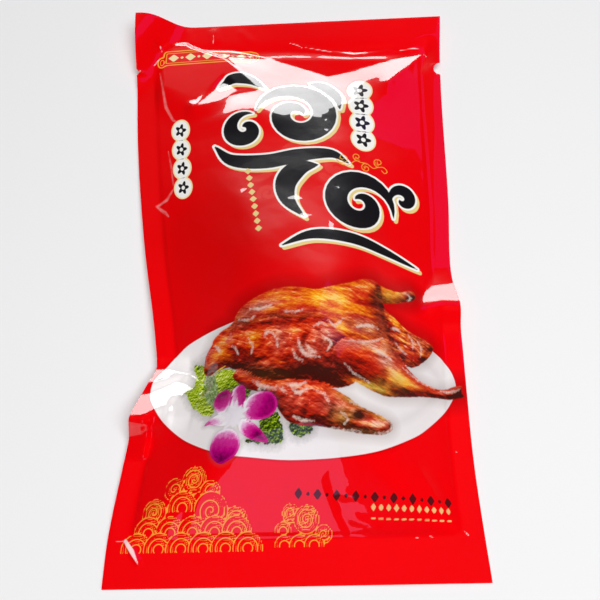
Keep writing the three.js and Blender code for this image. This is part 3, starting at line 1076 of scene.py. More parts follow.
# Glints on the wet folds of the skin, as middle lines with half widths.
BIRD_GLINTS = (
    ((-10, -78, 0.3), (-8, -84, 0.9), (-2, -89, 1.1), (8, -91, 0.4)),
    ((-4, -82, 0.2), (0, -86, 0.7), (5, -88, 0.3)), ((-14, -84, 0.2), (-10, -90, 0.6), (-4, -93, 0.2)),
    ((14, -65, 0.3), (19, -69, 0.9), (26, -63, 0.3)), ((-30, -71, 0.2), (-27, -77, 0.8), (-26, -82, 0.2)),
    ((-37, -74, 0.2), (-34, -70.5, 1), (-31, -72, 0.2)),
    ((-79, -70, 0.3), (-75, -74, 1.2), (-74, -77, 0.2)),
    ((-64, -74, 0.2), (-60, -77, 0.6), (-58, -81, 0.2)), ((8, -77, 0.3), (15, -81, 0.9), (13, -87, 0.3)),
    ((2, -70, 0.2), (8, -67.5, 0.7), (12, -69, 0.2)),
    ((28, -79, 0.2), (40, -78.6, 0.6), (50, -76, 0.6), (58, -72, 0.2)),
    ((36, -68, 0.4), (46, -65, 1.2), (54, -66, 0.4)), ((46, -81, 0.3), (56, -84, 1.2), (64, -87, 0.3)),
    ((74, -91, 0.2), (88, -97, 0.7), (104, -100.6, 0.2)),
    ((-40, -101, 0.3), (-30, -107, 1.4), (-20, -110, 0.5)),
    ((-14, -106.6, 0.3), (-6, -109, 1.3), (2, -107.6, 0.3)),
    ((-34, -105, 0.3), (-31, -111, 0.9), (-24, -114, 0.2)),
    ((66, -63, 0.4), (71, -62.4, 1.2), (74, -64, 0.3)), ((81, -64, 0.2), (84, -69, 0.7), (84, -75, 0.2)),
    ((89, -68, 0.2), (92, -73, 0.7), (91, -79, 0.2)), ((68, -73, 0.2), (73, -78, 0.8), (78, -80, 0.2)),
    ((84, -31, 0.3), (88, -34, 0.9), (84, -38, 0.2)), ((-46, -51, 0.3), (-38, -52.6, 1), (-28, -51, 0.3)),
    ((-56, -57, 0.2), (-48, -59, 0.6), (-42, -57, 0.2)),
    ((-20, -57, 0.2), (-12, -58.6, 0.6), (-4, -57, 0.2)),
    ((34, -119.4, 0.2), (48, -122.4, 0.6), (60, -126, 0.5), (66, -130.6, 0.4), (63, -135.6, 0.4),
     (52, -138, 0.2)),
    ((28, -126, 0.2), (33, -129.4, 0.6), (31, -133, 0.2)),
    ((-50, -72, 0.2), (-46, -78, 0.7), (-47, -83, 0.2)),
    ((22, -135.4, 0.2), (34, -137, 0.5), (44, -137.4, 0.2)),
    ((8, -112, 0.2), (16, -116, 0.7), (20, -121, 0.2)),
    ((-8, -111, 0.3), (-3, -114, 1.3), (3, -111.5, 0.6)),
    ((-20, -108, 0.2), (-15, -111, 0.8), (-12, -114, 0.2)),
    ((-6, -128, 0.2), (2, -131, 0.8), (10, -131, 0.2)), ((28, -95, 0.1), (36, -101, 0.4), (48, -106, 0.2)),
    ((108, -101.4, 0.2), (118, -101, 0.6), (124, -99.4, 0.2)),
)
LEAVES = (
    ((-97, -81.5), (-92, -80.5), (-87, -83), (-84, -89), (-82, -97), (-89, -97), (-93, -88)),
    ((-96, -100), (-88, -94), (-77, -96), (-70, -101), (-66, -110), (-65, -119), (-70, -122), (-78, -117),
     (-87, -110), (-92, -104)),
    ((-78, -95), (-70, -89.5), (-60, -90), (-49, -98), (-41, -102), (-38, -109), (-42, -113), (-52, -108),
     (-64, -108), (-72, -104)),
    ((-28, -131), (-22, -125.5), (-16, -126), (-13, -133), (-11.5, -141), (-16, -144), (-26, -143.5),
     (-37, -142), (-30, -137)),
    ((-8, -132.5), (2, -132), (9, -134), (6, -138.5), (-1, -140), (-6, -137)),
    ((4, -104), (10, -104.5), (14, -108), (9, -110), (4, -107)),
)
BLADE = ((-81, -89, 1.6), (-78, -94, 4), (-74, -101, 5.2), (-69, -108, 4.6), (-65, -115, 1.4))
STEM = ((-78, -90.6, 0.3), (-72, -88.2, 0.6), (-67.4, -86.6, 0.4))
FLOWER = (-48.0, -124.5)
STAMENS = (11, 8, 12, 9, 13, 9, 12, 8, 11, 9)
STAMEN_TURN = 20
PETALS = (
    Petal(((-52, -119), (-54.5, -111), (-54, -105.5), (-50, -102.5), (-45.5, -104), (-42.5, -110),
          (-41, -119)), (-53, -114), (9, 4), 0.9, 0.8),
    Petal(((-59, -122), (-65.5, -116), (-67, -109), (-64, -105), (-58, -104.5), (-54.5, -109), (-54, -118)),
          (-57, -122), (-4, 15), 1, 0.5),
    Petal(((-70.5, -128.5), (-66, -124), (-58, -121.5), (-51, -123.5), (-53, -130), (-60, -130),
          (-66, -128)), (-57, -122), (-7, -7), 0.66, 1.6),
    Petal(((-42, -128), (-36, -129.5), (-28, -135), (-21, -142.8), (-30, -142), (-38, -139), (-43, -134)),
          (-42, -128), (10, -10), 0.95, 0.9),
    Petal(((-61.5, -138), (-58, -134), (-50, -133), (-44, -136.5), (-41, -143), (-43, -149), (-48, -152.5),
          (-54, -154.5), (-60, -151), (-63, -145)), (-50, -128), (-3, -26), 1.15, 0.85),
    Petal(((-41, -123), (-40.5, -115), (-35, -111), (-26, -110.8), (-20, -114.5), (-17, -121), (-20, -127),
          (-28, -129.5), (-37, -128)), (-42, -116), (15, -6), 0.9, 0.6),
)


# ---------------------------------------------------------------- shader maths


class Value:
    """A socket that takes part in Python arithmetic: each step adds its Math node."""

    def __init__(self, graph: "Graph", socket: Any) -> None:
        """Wraps a socket of a graph."""
        self.graph, self.socket = graph, socket

    def math(self, operation: str, *others: Any, clamp: bool = False) -> "Value":
        """Adds a Math node with this value first.

        Args:
            operation: Blender's name for it.
            others: Further values or numbers.
            clamp: Whether the result is kept between 0 and 1.

        Returns:
            The result.
        """
        settings = {"operation": operation, "use_clamp": clamp}
        return self.graph.node("Math", settings, dict(enumerate((self, *others))))

    def __add__(self, other: Any) -> "Value":
        """Sum."""
        return self.math("ADD", other)

    def __sub__(self, other: Any) -> "Value":
        """Difference."""
        return self.math("SUBTRACT", other)

    def __rsub__(self, other: float) -> "Value":
        """A number less this value."""
        return (self * -1.0) + other

    def __mul__(self, other: Any) -> "Value":
        """Product."""
        return self.math("MULTIPLY", other)

    def __abs__(self) -> "Value":
        """Size without sign."""
        return self.math("ABSOLUTE")

    def clamped(self) -> "Value":
        """This value, kept between 0 and 1."""
        return self.math("ADD", 0.0, clamp=True)

    def inside(self, soft: float = 0.4) -> "Value":
        """1 where this distance is below 0, with an edge of that width."""
        return (0.5 - self * (1 / soft)).clamped()


class Graph:
    """The node tree of one material, built by expressions."""

    def __init__(self, name: str) -> None:
        """Starts an empty material.

        Args:
            name: Its name.
        """
        self.material = bpy.data.materials.new(name)
        self.material.use_nodes = True
        self.tree = self.material.node_tree
        self.tree.nodes.clear()

    def node(self, kind: str, settings: dict[str, Any] | None = None,
             inputs: dict[Any, Any] | None = None, output: Any = 0) -> Value:
        """Adds a node.

        Args:
            kind: Its type, without the words ShaderNode.
            settings: Its properties, set first.
            inputs: Socket names or numbers, with numbers, colours or values to link.
            output: Name or number of the output that is returned.

        Returns:
            The output's value.
        """
        made = self.tree.nodes.new("ShaderNode" + kind)
        for key, value in (settings or {}).items():
            setattr(made, key, value)
        for key, value in (inputs or {}).items():
            if isinstance(value, Value):
                self.tree.links.new(value.socket, made.inputs[key])
            else:
                made.inputs[key].default_value = value
        return Value(self, made.outputs[output] if made.outputs else None)

    def layer(self, name: str, part: str = "Fac") -> Value:
        """What the mesh keeps under that name: a number, or a vector where part says so."""
        return self.node("Attribute", {"attribute_name": name}, output=part)

    def flat(self, axis: str) -> Value:
        """The point's place on the flat film along X or Y, in millimetres."""
        return self.node("SeparateXYZ", {}, {0: self.layer("flat", "Vector")}, axis)

    def fall(self, value: Value, start: float, length: float) -> Value:
        """1 where a value is at start or below, and 0 from length above it on."""
        return (1 - (value - start) * (1 / length)).clamped()

    def climb(self, axis: str, start: float, length: float) -> Value:
        """0 before start on the flat film's X or Y, and 1 from length past it on."""
        return ((self.flat(axis) - start) * (1 / length)).clamped()

    def noise(self, size: float, detail: float = 2.0, rough: float = 0.5,
              stretch: Point = (1, 1), shift: Point = (0, 0), turn: float = 0.0) -> Value:
        """Cloudy noise.

        Args:
            size: Width of its blots, in millimetres.
            detail: Number of finer layers.
            rough: How strong the finer layers are.
            stretch: How much closer it repeats across and along.
            shift: How far it is moved, in millimetres.
            turn: Its turn, in degrees.

        Returns:
            The noise, from 0 to 1.
        """
        moved = self.node("Mapping", {}, {
            "Vector": self.layer("flat", "Vector"), "Location": (*shift, 0),
            "Rotation": (0, 0, math.radians(turn))})
        spot = self.node("Mapping", {}, {
            "Vector": moved, "Scale": (stretch[0] / size, stretch[1] / size, 1)})
        return self.node("TexNoise", {}, {
            "Vector": spot, "Scale": 1, "Detail": detail, "Roughness": rough}, "Fac")

    def lit_noise(self, size: float, detail: float, rough: float, stretch: Point, shift: Point,
                  turn: float, step: float, creased: bool = False) -> Value:
        """Light on a relief of noise, around 0: above it where the relief faces the sun.

        Args:
            size, detail, rough, stretch, shift, turn: The noise.
            step: How far towards the sun it is compared.
            creased: Whether it has sharp valleys.

        Returns:
            The light.
        """
        c, s = radial(turn)
        x, y = (part / math.hypot(*SUN[:2]) * step for part in SUN[:2])
        here, beyond = (self.noise(size, detail, rough, stretch, at, turn)
                        for at in (shift, (shift[0] + c * x - s * y, shift[1] + s * x + c * y)))
        return abs(here - 0.5) - abs(beyond - 0.5) if creased else here - beyond

    def mix(self, factor: Any, a: Any, b: Any) -> Value:
        """Colour a where factor is 0, b where it is 1."""
        return self.node("Mix", {"data_type": "RGBA"}, {0: factor, 6: a, 7: b}, 2)

    def ramp(self, value: Value, stops: Sequence[tuple[float, ...]]) -> Value:
        """Colours along a value.

        Args:
            value: The value.
            stops: Rows of a position and a display colour.

        Returns:
            The colour.
        """
        ramped = self.node("ValToRGB", {}, {0: value})
        elements = ramped.socket.node.color_ramp.elements
        for position, *_ in stops[2:]:
            elements.new(position)
        for element, (position, *colour) in zip(elements, stops):
            element.position, element.color = position, srgb(*colour)
        return ramped


# ---------------------------------------------------------------- finishes


@dataclass(frozen=True)
class Gloss:
    """The clear outer layer of the film; roughness and specular are of the print under it."""

    roughness: float = 0.3
    specular: float = 0.1
    coat: float = 1.0
    coat_roughness: float = 0.012
    coat_ior: float = 1.5


@dataclass(frozen=True)
class Inks:
    """The printing inks, the colours of painted shade and painted highlights, and the colours along each
    printed tone.
    """

    ground: Colour = srgb(247, 0, 8)
    # Deeper red, for random tone and, on the front, for painted shade.
    ground_deep_and_shade: Colour = srgb(224, 0, 2)
    ground_cast: Colour = srgb(120, 0, 0)
    cloud: Colour = srgb(238, 62, 48)
    # Pale pink of the painted highlight streaks.
    highlight_pink: Colour = srgb(254, 226, 226)
    black: Colour = srgb(22, 20, 24)
    white: Colour = srgb(252, 250, 246)
    cream: Colour = srgb(250, 232, 176)
    gold: Colour = srgb(250, 176, 60)
    pale_gold: Colour = srgb(240, 214, 140)
    dish: Colour = srgb(250, 244, 244)
    dish_shade: Colour = srgb(206, 198, 198)
    dish_cast: Colour = srgb(120, 88, 72)
    glint: Colour = srgb(238, 210, 196)
    leaf_cast: Colour = srgb(60, 60, 20)
    stem: Colour = srgb(236, 204, 70)
    petal_cast: Colour = srgb(90, 70, 80)
    heart: Colour = srgb(246, 238, 246)
    golden_skin: tuple = ((0, 112, 34, 8), (0.25, 190, 62, 6), (0.5, 238, 106, 6), (0.7, 255, 154, 16),
                          (0.86, 255, 190, 40), (1, 255, 216, 96))
    red_skin: tuple = ((0, 64, 14, 8), (0.25, 128, 18, 8), (0.5, 190, 30, 8), (0.7, 220, 58, 20),
                       (0.86, 236, 98, 42), (1, 248, 160, 110))
    olive_skin: tuple = ((0.1, 84, 62, 22), (0.45, 164, 124, 44), (0.8, 222, 180, 84))
    grey_skin: tuple = ((0.1, 58, 34, 26), (0.4, 126, 74, 56), (0.65, 178, 130, 108),
                        (0.9, 236, 214, 200))
    leaf: tuple = ((0, 22, 34, 4), (0.3, 74, 98, 10), (0.55, 140, 168, 16), (0.8, 186, 206, 40),
                   (1, 232, 240, 150))
    blade: tuple = ((0.2, 58, 84, 40), (0.55, 134, 160, 92), (0.85, 206, 222, 176))
    petal: tuple = ((0, 253, 246, 250), (0.28, 236, 168, 214), (0.5, 208, 52, 148),
                    (0.78, 182, 0, 116), (1, 98, 0, 66))


class Finish:
    """A printed film's material, made by laying inks, painted shade and painted highlights over each other.
    """

    def __init__(self, name: str, gloss: Gloss, inks: Inks) -> None:
        """Starts an empty material of that name."""
        self.graph, self.gloss, self.inks = Graph(name), gloss, inks
        self.colour: Any = inks.ground

    def lay(self, amount: Any, ink: Any) -> None:
        """Lays an ink over the colour so far, by that amount."""
        self.colour = self.graph.mix(amount, self.colour, ink)

    def mark(self, name: str, ink: Colour, grow: float = 0.0, soft: float = 0.4) -> None:
        """Lays an ink where a drawn layer is, grown by so many millimetres, with a soft edge."""
        layer = self.graph.layer(name)
        self.lay((layer - grow if grow else layer).inside(soft), ink)

    def closed(self, roughness: Any) -> bpy.types.Material:
        """Closes the print under the gloss.

        Args:
            roughness: The print's own roughness.

        Returns:
            The material.
        """
        g, gloss = self.graph, self.gloss
        bump = g.node("Bump", {}, {
            "Height": g.noise(16, 3, 0.55), "Strength": 0.05, "Distance": 0.004}, "Normal")
        shader = g.node("BsdfPrincipled", {}, {
            "Base Color": self.colour, "Roughness": roughness, "Normal": bump,
            "Specular IOR Level": gloss.specular, "Coat Weight": gloss.coat,
            "Coat Roughness": gloss.coat_roughness, "Coat IOR": gloss.coat_ior})
        g.node("OutputMaterial", {}, {"Surface": shader})
        return g.material


class FrontFinish(Finish):
    """The printed front film's material."""

    def build(self) -> bpy.types.Material:
        """Lays the print's layers and the painted highlights over each other, and closes them under the
        gloss.
        """
        g, inks = self.graph, self.inks
        self.ground()
        self.marks()
        self.picture()
        # Painted highlights: pale streaks along folds and edges that stand in for the gloss mirroring the
        # light.
        patchy = (g.noise(7, 3, 0.6) * 1.6 - 0.4).clamped()
        self.lay(g.layer("faint_highlight_streak").inside(1.0) * patchy * 0.5, inks.highlight_pink)
        self.lay(g.layer("highlight_streak").inside(0.5) * 0.9, inks.highlight_pink)
        return self.closed(g.noise(40, 2) * 0.08 + (self.gloss.roughness - 0.04))

    def ground(self) -> None:
        """The red field with painted shade, darker towards the top and at the left middle and lighter at
        the header and the right, with random deeper patches and its soft clouds.
        """
        g, inks = self.graph, self.inks
        # Painted shade: the ground is darkened towards the top and at the left middle and lightened at the
        # header and the right, as the light falls; the broad noise is random tone.
        header = g.climb("Y", 165, 45) * 0.25
        a, b = (g.flat("X") + 50) * (1 / 75), (g.flat("Y") - 25) * (1 / 75)
        spot = (1 - (a * a + b * b)).clamped() * 0.35
        right = g.climb("X", 20, 60) * 0.3
        rise = g.climb("Y", -130, 150) * 0.45
        self.lay((g.noise(150, 1) * 0.25 + rise + spot - header - right).clamped(), inks.ground_deep_and_shade)
        self.lay(g.layer("mist").inside(1.2) * 0.4, inks.cloud)

    def marks(self) -> None:
        """The painted curls with their rim and cast, medallions, banner and small marks."""
        g, inks = self.graph, self.inks
        self.mark("ink_shade", inks.pale_gold, 1.5, 0.5)
        self.mark("ink", inks.white, 1.7)
        self.mark("ink", inks.black)
        self.mark("medal", inks.cream, 1.0)
        self.mark("medal", inks.white, -0.2)
        x, y = g.layer("medal_x"), g.layer("medal_y")
        radius = (x * x + y * y).math("SQRT")
        petals = radius - ((y.math("ARCTAN2", x) * 5.0).math("COSINE") * 0.16 + 0.52)
        blossom = petals.inside(0.05) * (1 - (radius - 0.2).inside(0.05))
        self.lay(blossom * (g.layer("medal") + 0.5).inside(), inks.black)
        banner = g.layer("banner")
        rim = (abs(banner) - 0.5).inside(0.3)
        self.lay(rim.math("MAXIMUM", (abs(banner + 2.2) - 0.3).inside(0.3)), inks.gold)
        self.mark("charms", inks.cream)
        line = (abs(g.layer("gold_side")) - 0.32).inside(0.3) * (g.layer("gold_near") - 1.1).inside(0.3)
        self.lay(line * 0.9, inks.gold)
        self.mark("gold_marks", inks.pale_gold)
        self.lay(g.layer("dark_marks").inside() * 0.9, inks.black)
        self.lay(g.layer("pale_marks").inside() * 0.75, inks.pale_gold)

    def picture(self) -> None:
        """The dish with the roast bird, the leaves and the flower."""
        g, inks = self.graph, self.inks
        bird, dish = g.layer("bird"), g.layer("dish")
        self.lay(g.fall(bird, 1.0, 12) * 0.45, inks.ground_cast)
        self.lay((dish - 1.0).inside(1.5) * 0.3, inks.ground_cast)
        hollow = (abs(dish + 13.0) * (1 / 5.0) * -1.0 + 1.0).clamped() * 0.2 + 0.25
        # The plate's printed shading fades out towards the left, a painted reflection of the window's
        # light.
        plate = g.mix(hollow * g.climb("X", -80, 120) + g.noise(60, 1) * 0.1, inks.dish, inks.dish_shade)
        plate = g.mix(g.fall(bird, 0.5, 7) * 0.3, plate, inks.dish_cast)
        self.lay(dish.inside(0.5), plate)
        self.leaves()
        self.lay((bird + (g.noise(3) - 0.5) * 1.2).inside(0.8), self.skin())
        self.flower()

    def skin(self) -> Value:
        """The roast skin, from dark red folds to golden light."""
        g, inks = self.graph, self.inks
        folds = g.lit_noise(15, 2, 0.5, (0.7, 1.3), (0, 0), 34, 1.6, True) * 2.2
        lines = g.lit_noise(7, 2, 0.6, (0.6, 1.4), (60, 9), 20, 1.0, True) * 1.5
        pores = g.lit_noise(2.6, 2, 0.6, (0.8, 1.2), (40, 0), 8, 0.7)
        streak = g.noise(7, 3, 0.6, (0.3, 1.8), (31, 5), 6) - 0.5
        relief = (folds + lines) * (g.layer("bird_wrinkle") + 0.3)
        value = g.layer("bird_tone") * 0.92 - 0.12 + relief * 0.9 + pores * 0.42
        value = (value + streak * 0.45).clamped()
        hue = g.layer("bird_red") - streak * 2.0 + (g.noise(12, 4, 0.65, (1, 1), (50, 9)) - 0.5) * 1.4
        colour = g.mix(hue.clamped(), g.ramp(value, inks.golden_skin), g.ramp(value, inks.red_skin))
        patchy = g.noise(6, 3, 0.6, (1, 1), (12, 70)) * 1.4
        for name, stops in (("bird_olive", inks.olive_skin), ("bird_grey", inks.grey_skin)):
            colour = g.mix((g.layer(name) * patchy).clamped(), colour, g.ramp(value, stops))
        shine = g.layer("bird_wet") * 1.1 - 1.0 + relief * 1.8 + (g.noise(6, 3, 0.6) - 0.5) * 1.4
        glint = (g.layer("bird_glint") + (g.noise(2.4, 3, 0.6) - 0.5) * 4.0).inside(1.6) * 0.75
        return g.mix((shine.clamped() * 0.6).math("MAXIMUM", glint), colour, inks.glint)

    def leaves(self) -> None:
        """Curly leaves and a long leaf."""
        g, inks = self.graph, self.inks
        curls = g.noise(3.4, 3, 0.7) - 0.5
        relief = g.lit_noise(3.0, 3, 0.65, (1, 1), (9, 4), 0, 0.9)
        edge = g.layer("leaves") + curls * 7.0
        value = relief * 2.3 + g.noise(14, 2) * 0.7 + 0.3 - g.climb("X", -70, 40) * 0.42
        self.lay((edge - 3.0).inside(5.0) * 0.35, inks.leaf_cast)
        self.lay(edge.inside(0.5), g.ramp(value.clamped(), inks.leaf))
        vein = g.noise(2.4, 2, 0.5, (0.4, 1.5), (3, 8), 52) + relief
        self.lay((g.layer("blade") + curls * 6.0).inside(0.5), g.ramp(vein, inks.blade))

    def flower(self) -> None:
        """The flower with its stem."""
        g, inks = self.graph, self.inks
        self.mark("stem", inks.stem, soft=0.5)
        veins = (g.noise(2.2, 2, 0.6) - 0.5) * 0.3
        self.lay((g.layer("petals") - 1.5).inside(3.0) * 0.3, inks.petal_cast)
        petal = g.ramp((g.layer("petal_tone") + veins - 0.07).clamped(), inks.petal)
        self.lay(g.layer("petals").inside(), petal)
        self.lay((g.layer("flower_heart") + veins * 5.0).inside(1.0) * 0.85, inks.heart)


class BackFinish(Finish):
    """The back film's material: the same red with a plain lined panel."""

    def build(self) -> bpy.types.Material:
        """Red ground, a pale panel with ruled bars and a gold border."""
        g, inks = self.graph, self.inks
        self.lay(g.noise(150, 1) * 0.6, inks.ground_deep_and_shade)
        self.lay((abs(g.layer("panel") - 4.0) - 0.5).inside(), inks.gold)
        self.mark("panel", inks.white)
        self.mark("bars", inks.black)
        self.mark("gems", inks.pale_gold)
        return self.closed(self.gloss.roughness)


# ---------------------------------------------------------------- the films


class Side(Enum):
    """Which film a piece is."""

    FRONT = 1
    BACK = -1


@dataclass
class Film:
    """One of the pouch's two films, as a fine sheet over the solid's face.

    Attributes:
        form, side: The pouch's form, and front or back.
        columns, rows: Cells across and along.
        gap, gap_end: Distance between the films where they are welded, and how far in from the
            cut edge it closes.
        floor: Least height of the front film.
        header_weld: Where the chamber ends below the header.
        ease, header_ease, ripple_ease: From where to where inside the weld the films part, and
            their ripples start.
        ripple_bend: How far the ripples sway, over what length, and how much that differs.
    """

    form: PouchForm
    side: Side
    columns: int
    rows: int = 404
    gap: float = 0.4
    gap_end: float = 1.5
    floor: float = 0.3
    side_seal: float = 15.0
    foot_seal: float = 30.0
    header_weld: tuple[Point, Point] = ((-117.0, 209.0), (118.0, 199.0))
    ease: Point = (-1.0, 5.0)
    header_ease: Point = (-1.0, 13.0)
    ripple_ease: Point = (-2.0, 14.0)
    ripple_bend: Place = (0.18, 31.0, 5.0)

    def build(self, name: str) -> tuple[bpy.types.Object, FlatFilm]:
        """Adds a grid and lays it over the solid's face.

        Args:
            name: The piece's name.

        Returns:
            The piece and its flat layout.
        """
        bpy.ops.object.select_all(action="DESELECT")
        bpy.ops.mesh.primitive_grid_add(x_subdivisions=self.columns, y_subdivisions=self.rows, size=1,
                                        calc_uvs=False)
        piece = bpy.context.object
        piece.name = piece.data.name = name
        s, t = vertices(piece.data)[:, :2].T + 0.5
        flat = FlatFilm((s - 0.5) * self.form.width, (t - 0.5) * self.form.length,
                        (self.rows + 1, self.columns + 1))
        x, y = self.form.place(s, t)
        left, right = self.form.edges(y)
        for side, edge, inwards in ((0, left, 1), (1, right, -1)):
            share = np.clip(1 - np.abs(x - edge) / self.form.notch_spread, 0, 1)
            x = x + inwards * self.form.notch(y, side) * share
        z = self.surface(s, t, flat, x)
        piece.data.vertices.foreach_set("co", (np.c_[x, y, z] * MM).ravel())
        piece.data.update()
        corners = np.empty(len(piece.data.loops), int)
        piece.data.loops.foreach_get("vertex_index", corners)
        fractions = np.c_[s, t][corners]
        piece.data.uv_layers.new(name="OFBake").uv.foreach_set("vector", fractions.ravel())
        self.keep(piece, "flat", np.c_[flat.u, flat.v, 0 * flat.u])
        if self.side is Side.BACK:
            piece.data.flip_normals()
        bpy.ops.object.shade_smooth()
        return piece, flat

    def surface(self, s: Array, t: Array, flat: FlatFilm, x: Array) -> Array:
        """Heights of the film, welded to the other one outside the chamber.

        Args:
            s, t: Each point's fractions across and along.
            flat: The points, laid flat.
            x: Their plan position across.

        Returns:
            The heights.
        """
        form = self.form
        columns, rows = np.unique(np.round(s, 6)), np.unique(np.round(t, 6))
        at = (np.searchsorted(rows, np.round(t, 6)), np.searchsorted(columns, np.round(s, 6)))
        front, back = (form.height(face, columns, rows)[at] for face in (form.front, form.back))
        header = flat.below(*self.header_weld)
        sides = form.width / 2 - np.abs(flat.u)
        foot = form.length / 2 - self.foot_seal + flat.v
        weld = joined(sides - self.side_seal, header, foot)
        free = smoothstep(*self.ease, weld) * smoothstep(*self.header_ease, header)
        border = np.minimum(sides, form.length / 2 - np.abs(flat.v))
        gap = self.gap / 2 * np.clip(border / self.gap_end, 0, 1)
        middle = (front + back) / 2 + sum(crease.height(flat) for crease in SEAL_CREASES) * (1 - free)
        above = middle + gap + (front - middle - gap) * free + self.relief(flat, weld)
        kinked = above
        for facet in FACETS:
            kinked = facet.press(flat, x, kinked)
        if self.side is Side.FRONT:
            return np.maximum(kinked, self.floor)
        below = middle - gap + (back - middle + gap) * free + (kinked - above) * (1 - free)
        return np.maximum(np.minimum(below, kinked - gap - free), 0)

    def relief(self, flat: FlatFilm, weld: Array) -> Array:
        """Creases, the soft swell and shallow ripples of the chamber's front film.

        Args:
            flat: The film's grid, laid flat.
            weld: Each point's distance inwards from the weld.

        Returns:
            The height that they add at each point.
        """
        z = HeaderFold().height(flat, weld) + sum(crease.height(flat) for crease in FRONT_CREASES)
        *spot, high = SWELL
        soft = high * flat.spot(*spot)
        sway, stretch, differ = self.ripple_bend
        for angle, length, high, phase in RIPPLES:
            along, across = flat.turned((0, 0), angle)
            bend = sway * np.sin(across / stretch + phase * differ)
            soft += high * (np.abs((along / length + phase + bend) % 1 - 0.5) * 4 - 1)
        return z + soft * smoothstep(*self.ripple_ease, weld)

    @staticmethod
    def keep(piece: bpy.types.Object, name: str, values: Array) -> None:
        """Keeps a number or a vector on each vertex under that name."""
        kind, key = ("FLOAT", "value") if values.ndim == 1 else ("FLOAT_VECTOR", "vector")
        piece.data.attributes.new(name, kind, "POINT").data.foreach_set(key, values.ravel())

    def finish(self, piece: bpy.types.Object, layers: Layers, material: bpy.types.Material) -> None:
        """Gives a piece its print and its place in the frame.

        Args:
            piece: The film.
            layers: Its drawn layers, by name.
            material: Its material.
        """
        for name, values in layers.items():
            self.keep(piece, name, values)
        piece.data.materials.clear()
        piece.data.materials.append(material)
        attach(piece, BODY)
        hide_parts(NODE)
        log.info("%s: %d faces", piece.name, len(piece.data.polygons))


# Creases of the chamber's front film.
FRONT_CREASES = (
    crease(-3, 13, (-112, -78), (-62, -66), lean=0.2, power=1.6), crease(0.7, 2.6, (1, 209), (12, 205)),
    crease(0.8, 2.8, (9, 206.5), (36, 200)), crease(0.9, 3.2, (30, 201), (58, 197), lean=0.2),
    crease(0.9, 3, (50, 196.5), (98, 200), lean=0.2), crease(0.6, 2.4, (92, 200), (114, 199.6)),
    crease(1.6, 10, (-112, -198), (-72, -152), power=1.6),
    crease(1.6, 10, (112, -198), (82, -150), power=1.6), crease(-1, 6, (20, -160), (40, -200)),
    crease(-0.9, 7, (-66, -152), (-84, -200)), crease(0.8, 5, (30, -186), (60, -194)),
    crease(0.7, 4, (22, -172), (46, -176)),
)
# The soft rise beside the left kink: middle, reach along and across its angle, and height.
SWELL = (-88, -96, 44, 27, 30, 4.9)
# Creases of the welded margins, which both films share.
SEAL_CREASES = (
    crease(0.5, 5, (-30, 209), (-44, 226)), crease(0.8, 7, (-62, 210), (-66, 228)),
    crease(0.6, 6, (-84, 210), (-88, 228)),
    crease(2.6, 3, (-118, -199), (-106, -215), lean=-0.25, fade=0.2),
    crease(5, 15, (-115, -119), (-115, -146), fade=0.25),
)
# Flat fields at the two kinks of the waist, at the header's right corner and by its banner.
FACETS = (
    Facet(((-130, -100), (-124.3, -99.2), (-101.9, -86.6), (-84.5, -94)), ((-130, -119.3), (-119.2, -118.2),
          (-114.8, -115.4), (-101.9, -105.5), (-84.5, -95)), 0.03, -0.5, 0, 16, 12, 12, True),
    Facet(((-101, -105.5), (-84.5, -95.5)), ((-101, -108), (-97, -116), (-84.5, -119)), 0.26, -0.34, -0.2,
          1.5, 14, 5, True),
    Facet(((-130, -80.4), (-121.6, -80.5), (-110.8, -82), (-99.9, -84.2), (-92, -87.5), (-84.5, -94)),
          ((-130, -87.6), (-124.7, -87.9), (-110.8, -85), (-99.9, -87), (-84.5, -95)), 0.03, -0.5, 0, 10, 5,
          12, True),
    Facet(((99.7, -33.3), (106, -26), (112.1, -20.4), (124.7, -18.2), (130, -16.9)), ((99.7, -33.3),
          (108, -31), (115.8, -29.6), (122, -31.5), (130, -34)), -0.03, -0.455, 0.6, 16, 24, 16, True),
    Facet(((84, 187.2), (91.5, 188.3), (104, 192.2), (117.5, 197)), ((84, 163), (90.4, 169.9), (104, 184),
          (117.5, 197)), 0.044, -0.29),
    Facet(((-105, 208), (-90, 209), (-54.6, 190.6), (-32.7, 165.4), (-28.5, 153)), ((-105, 165), (-90, 158),
          (-76, 150), (-54.6, 150), (-32.7, 152.5), (-28.5, 153)), 0.1, -0.1, 0, 6, 30),
    Facet(((-78, 142), (-70, 151), (-62, 160), (-56, 167), (-50, 163), (-44, 156)), ((-78, 141.5),
          (-68, 142.5), (-58, 145.5), (-50, 151), (-44, 155)), 0.117, -0.282, 0, 8, 14),
)
# Shallow ripples of the whole film: direction, wave length, height and phase.
RIPPLES = (
    (12, 57, 0.2, 0.1), (71, 43, 0.18, 0.43), (128, 49, 0.17, 0.77), (40, 33, 0.1, 0.29),
    (98, 29, 0.08, 0.61),
)


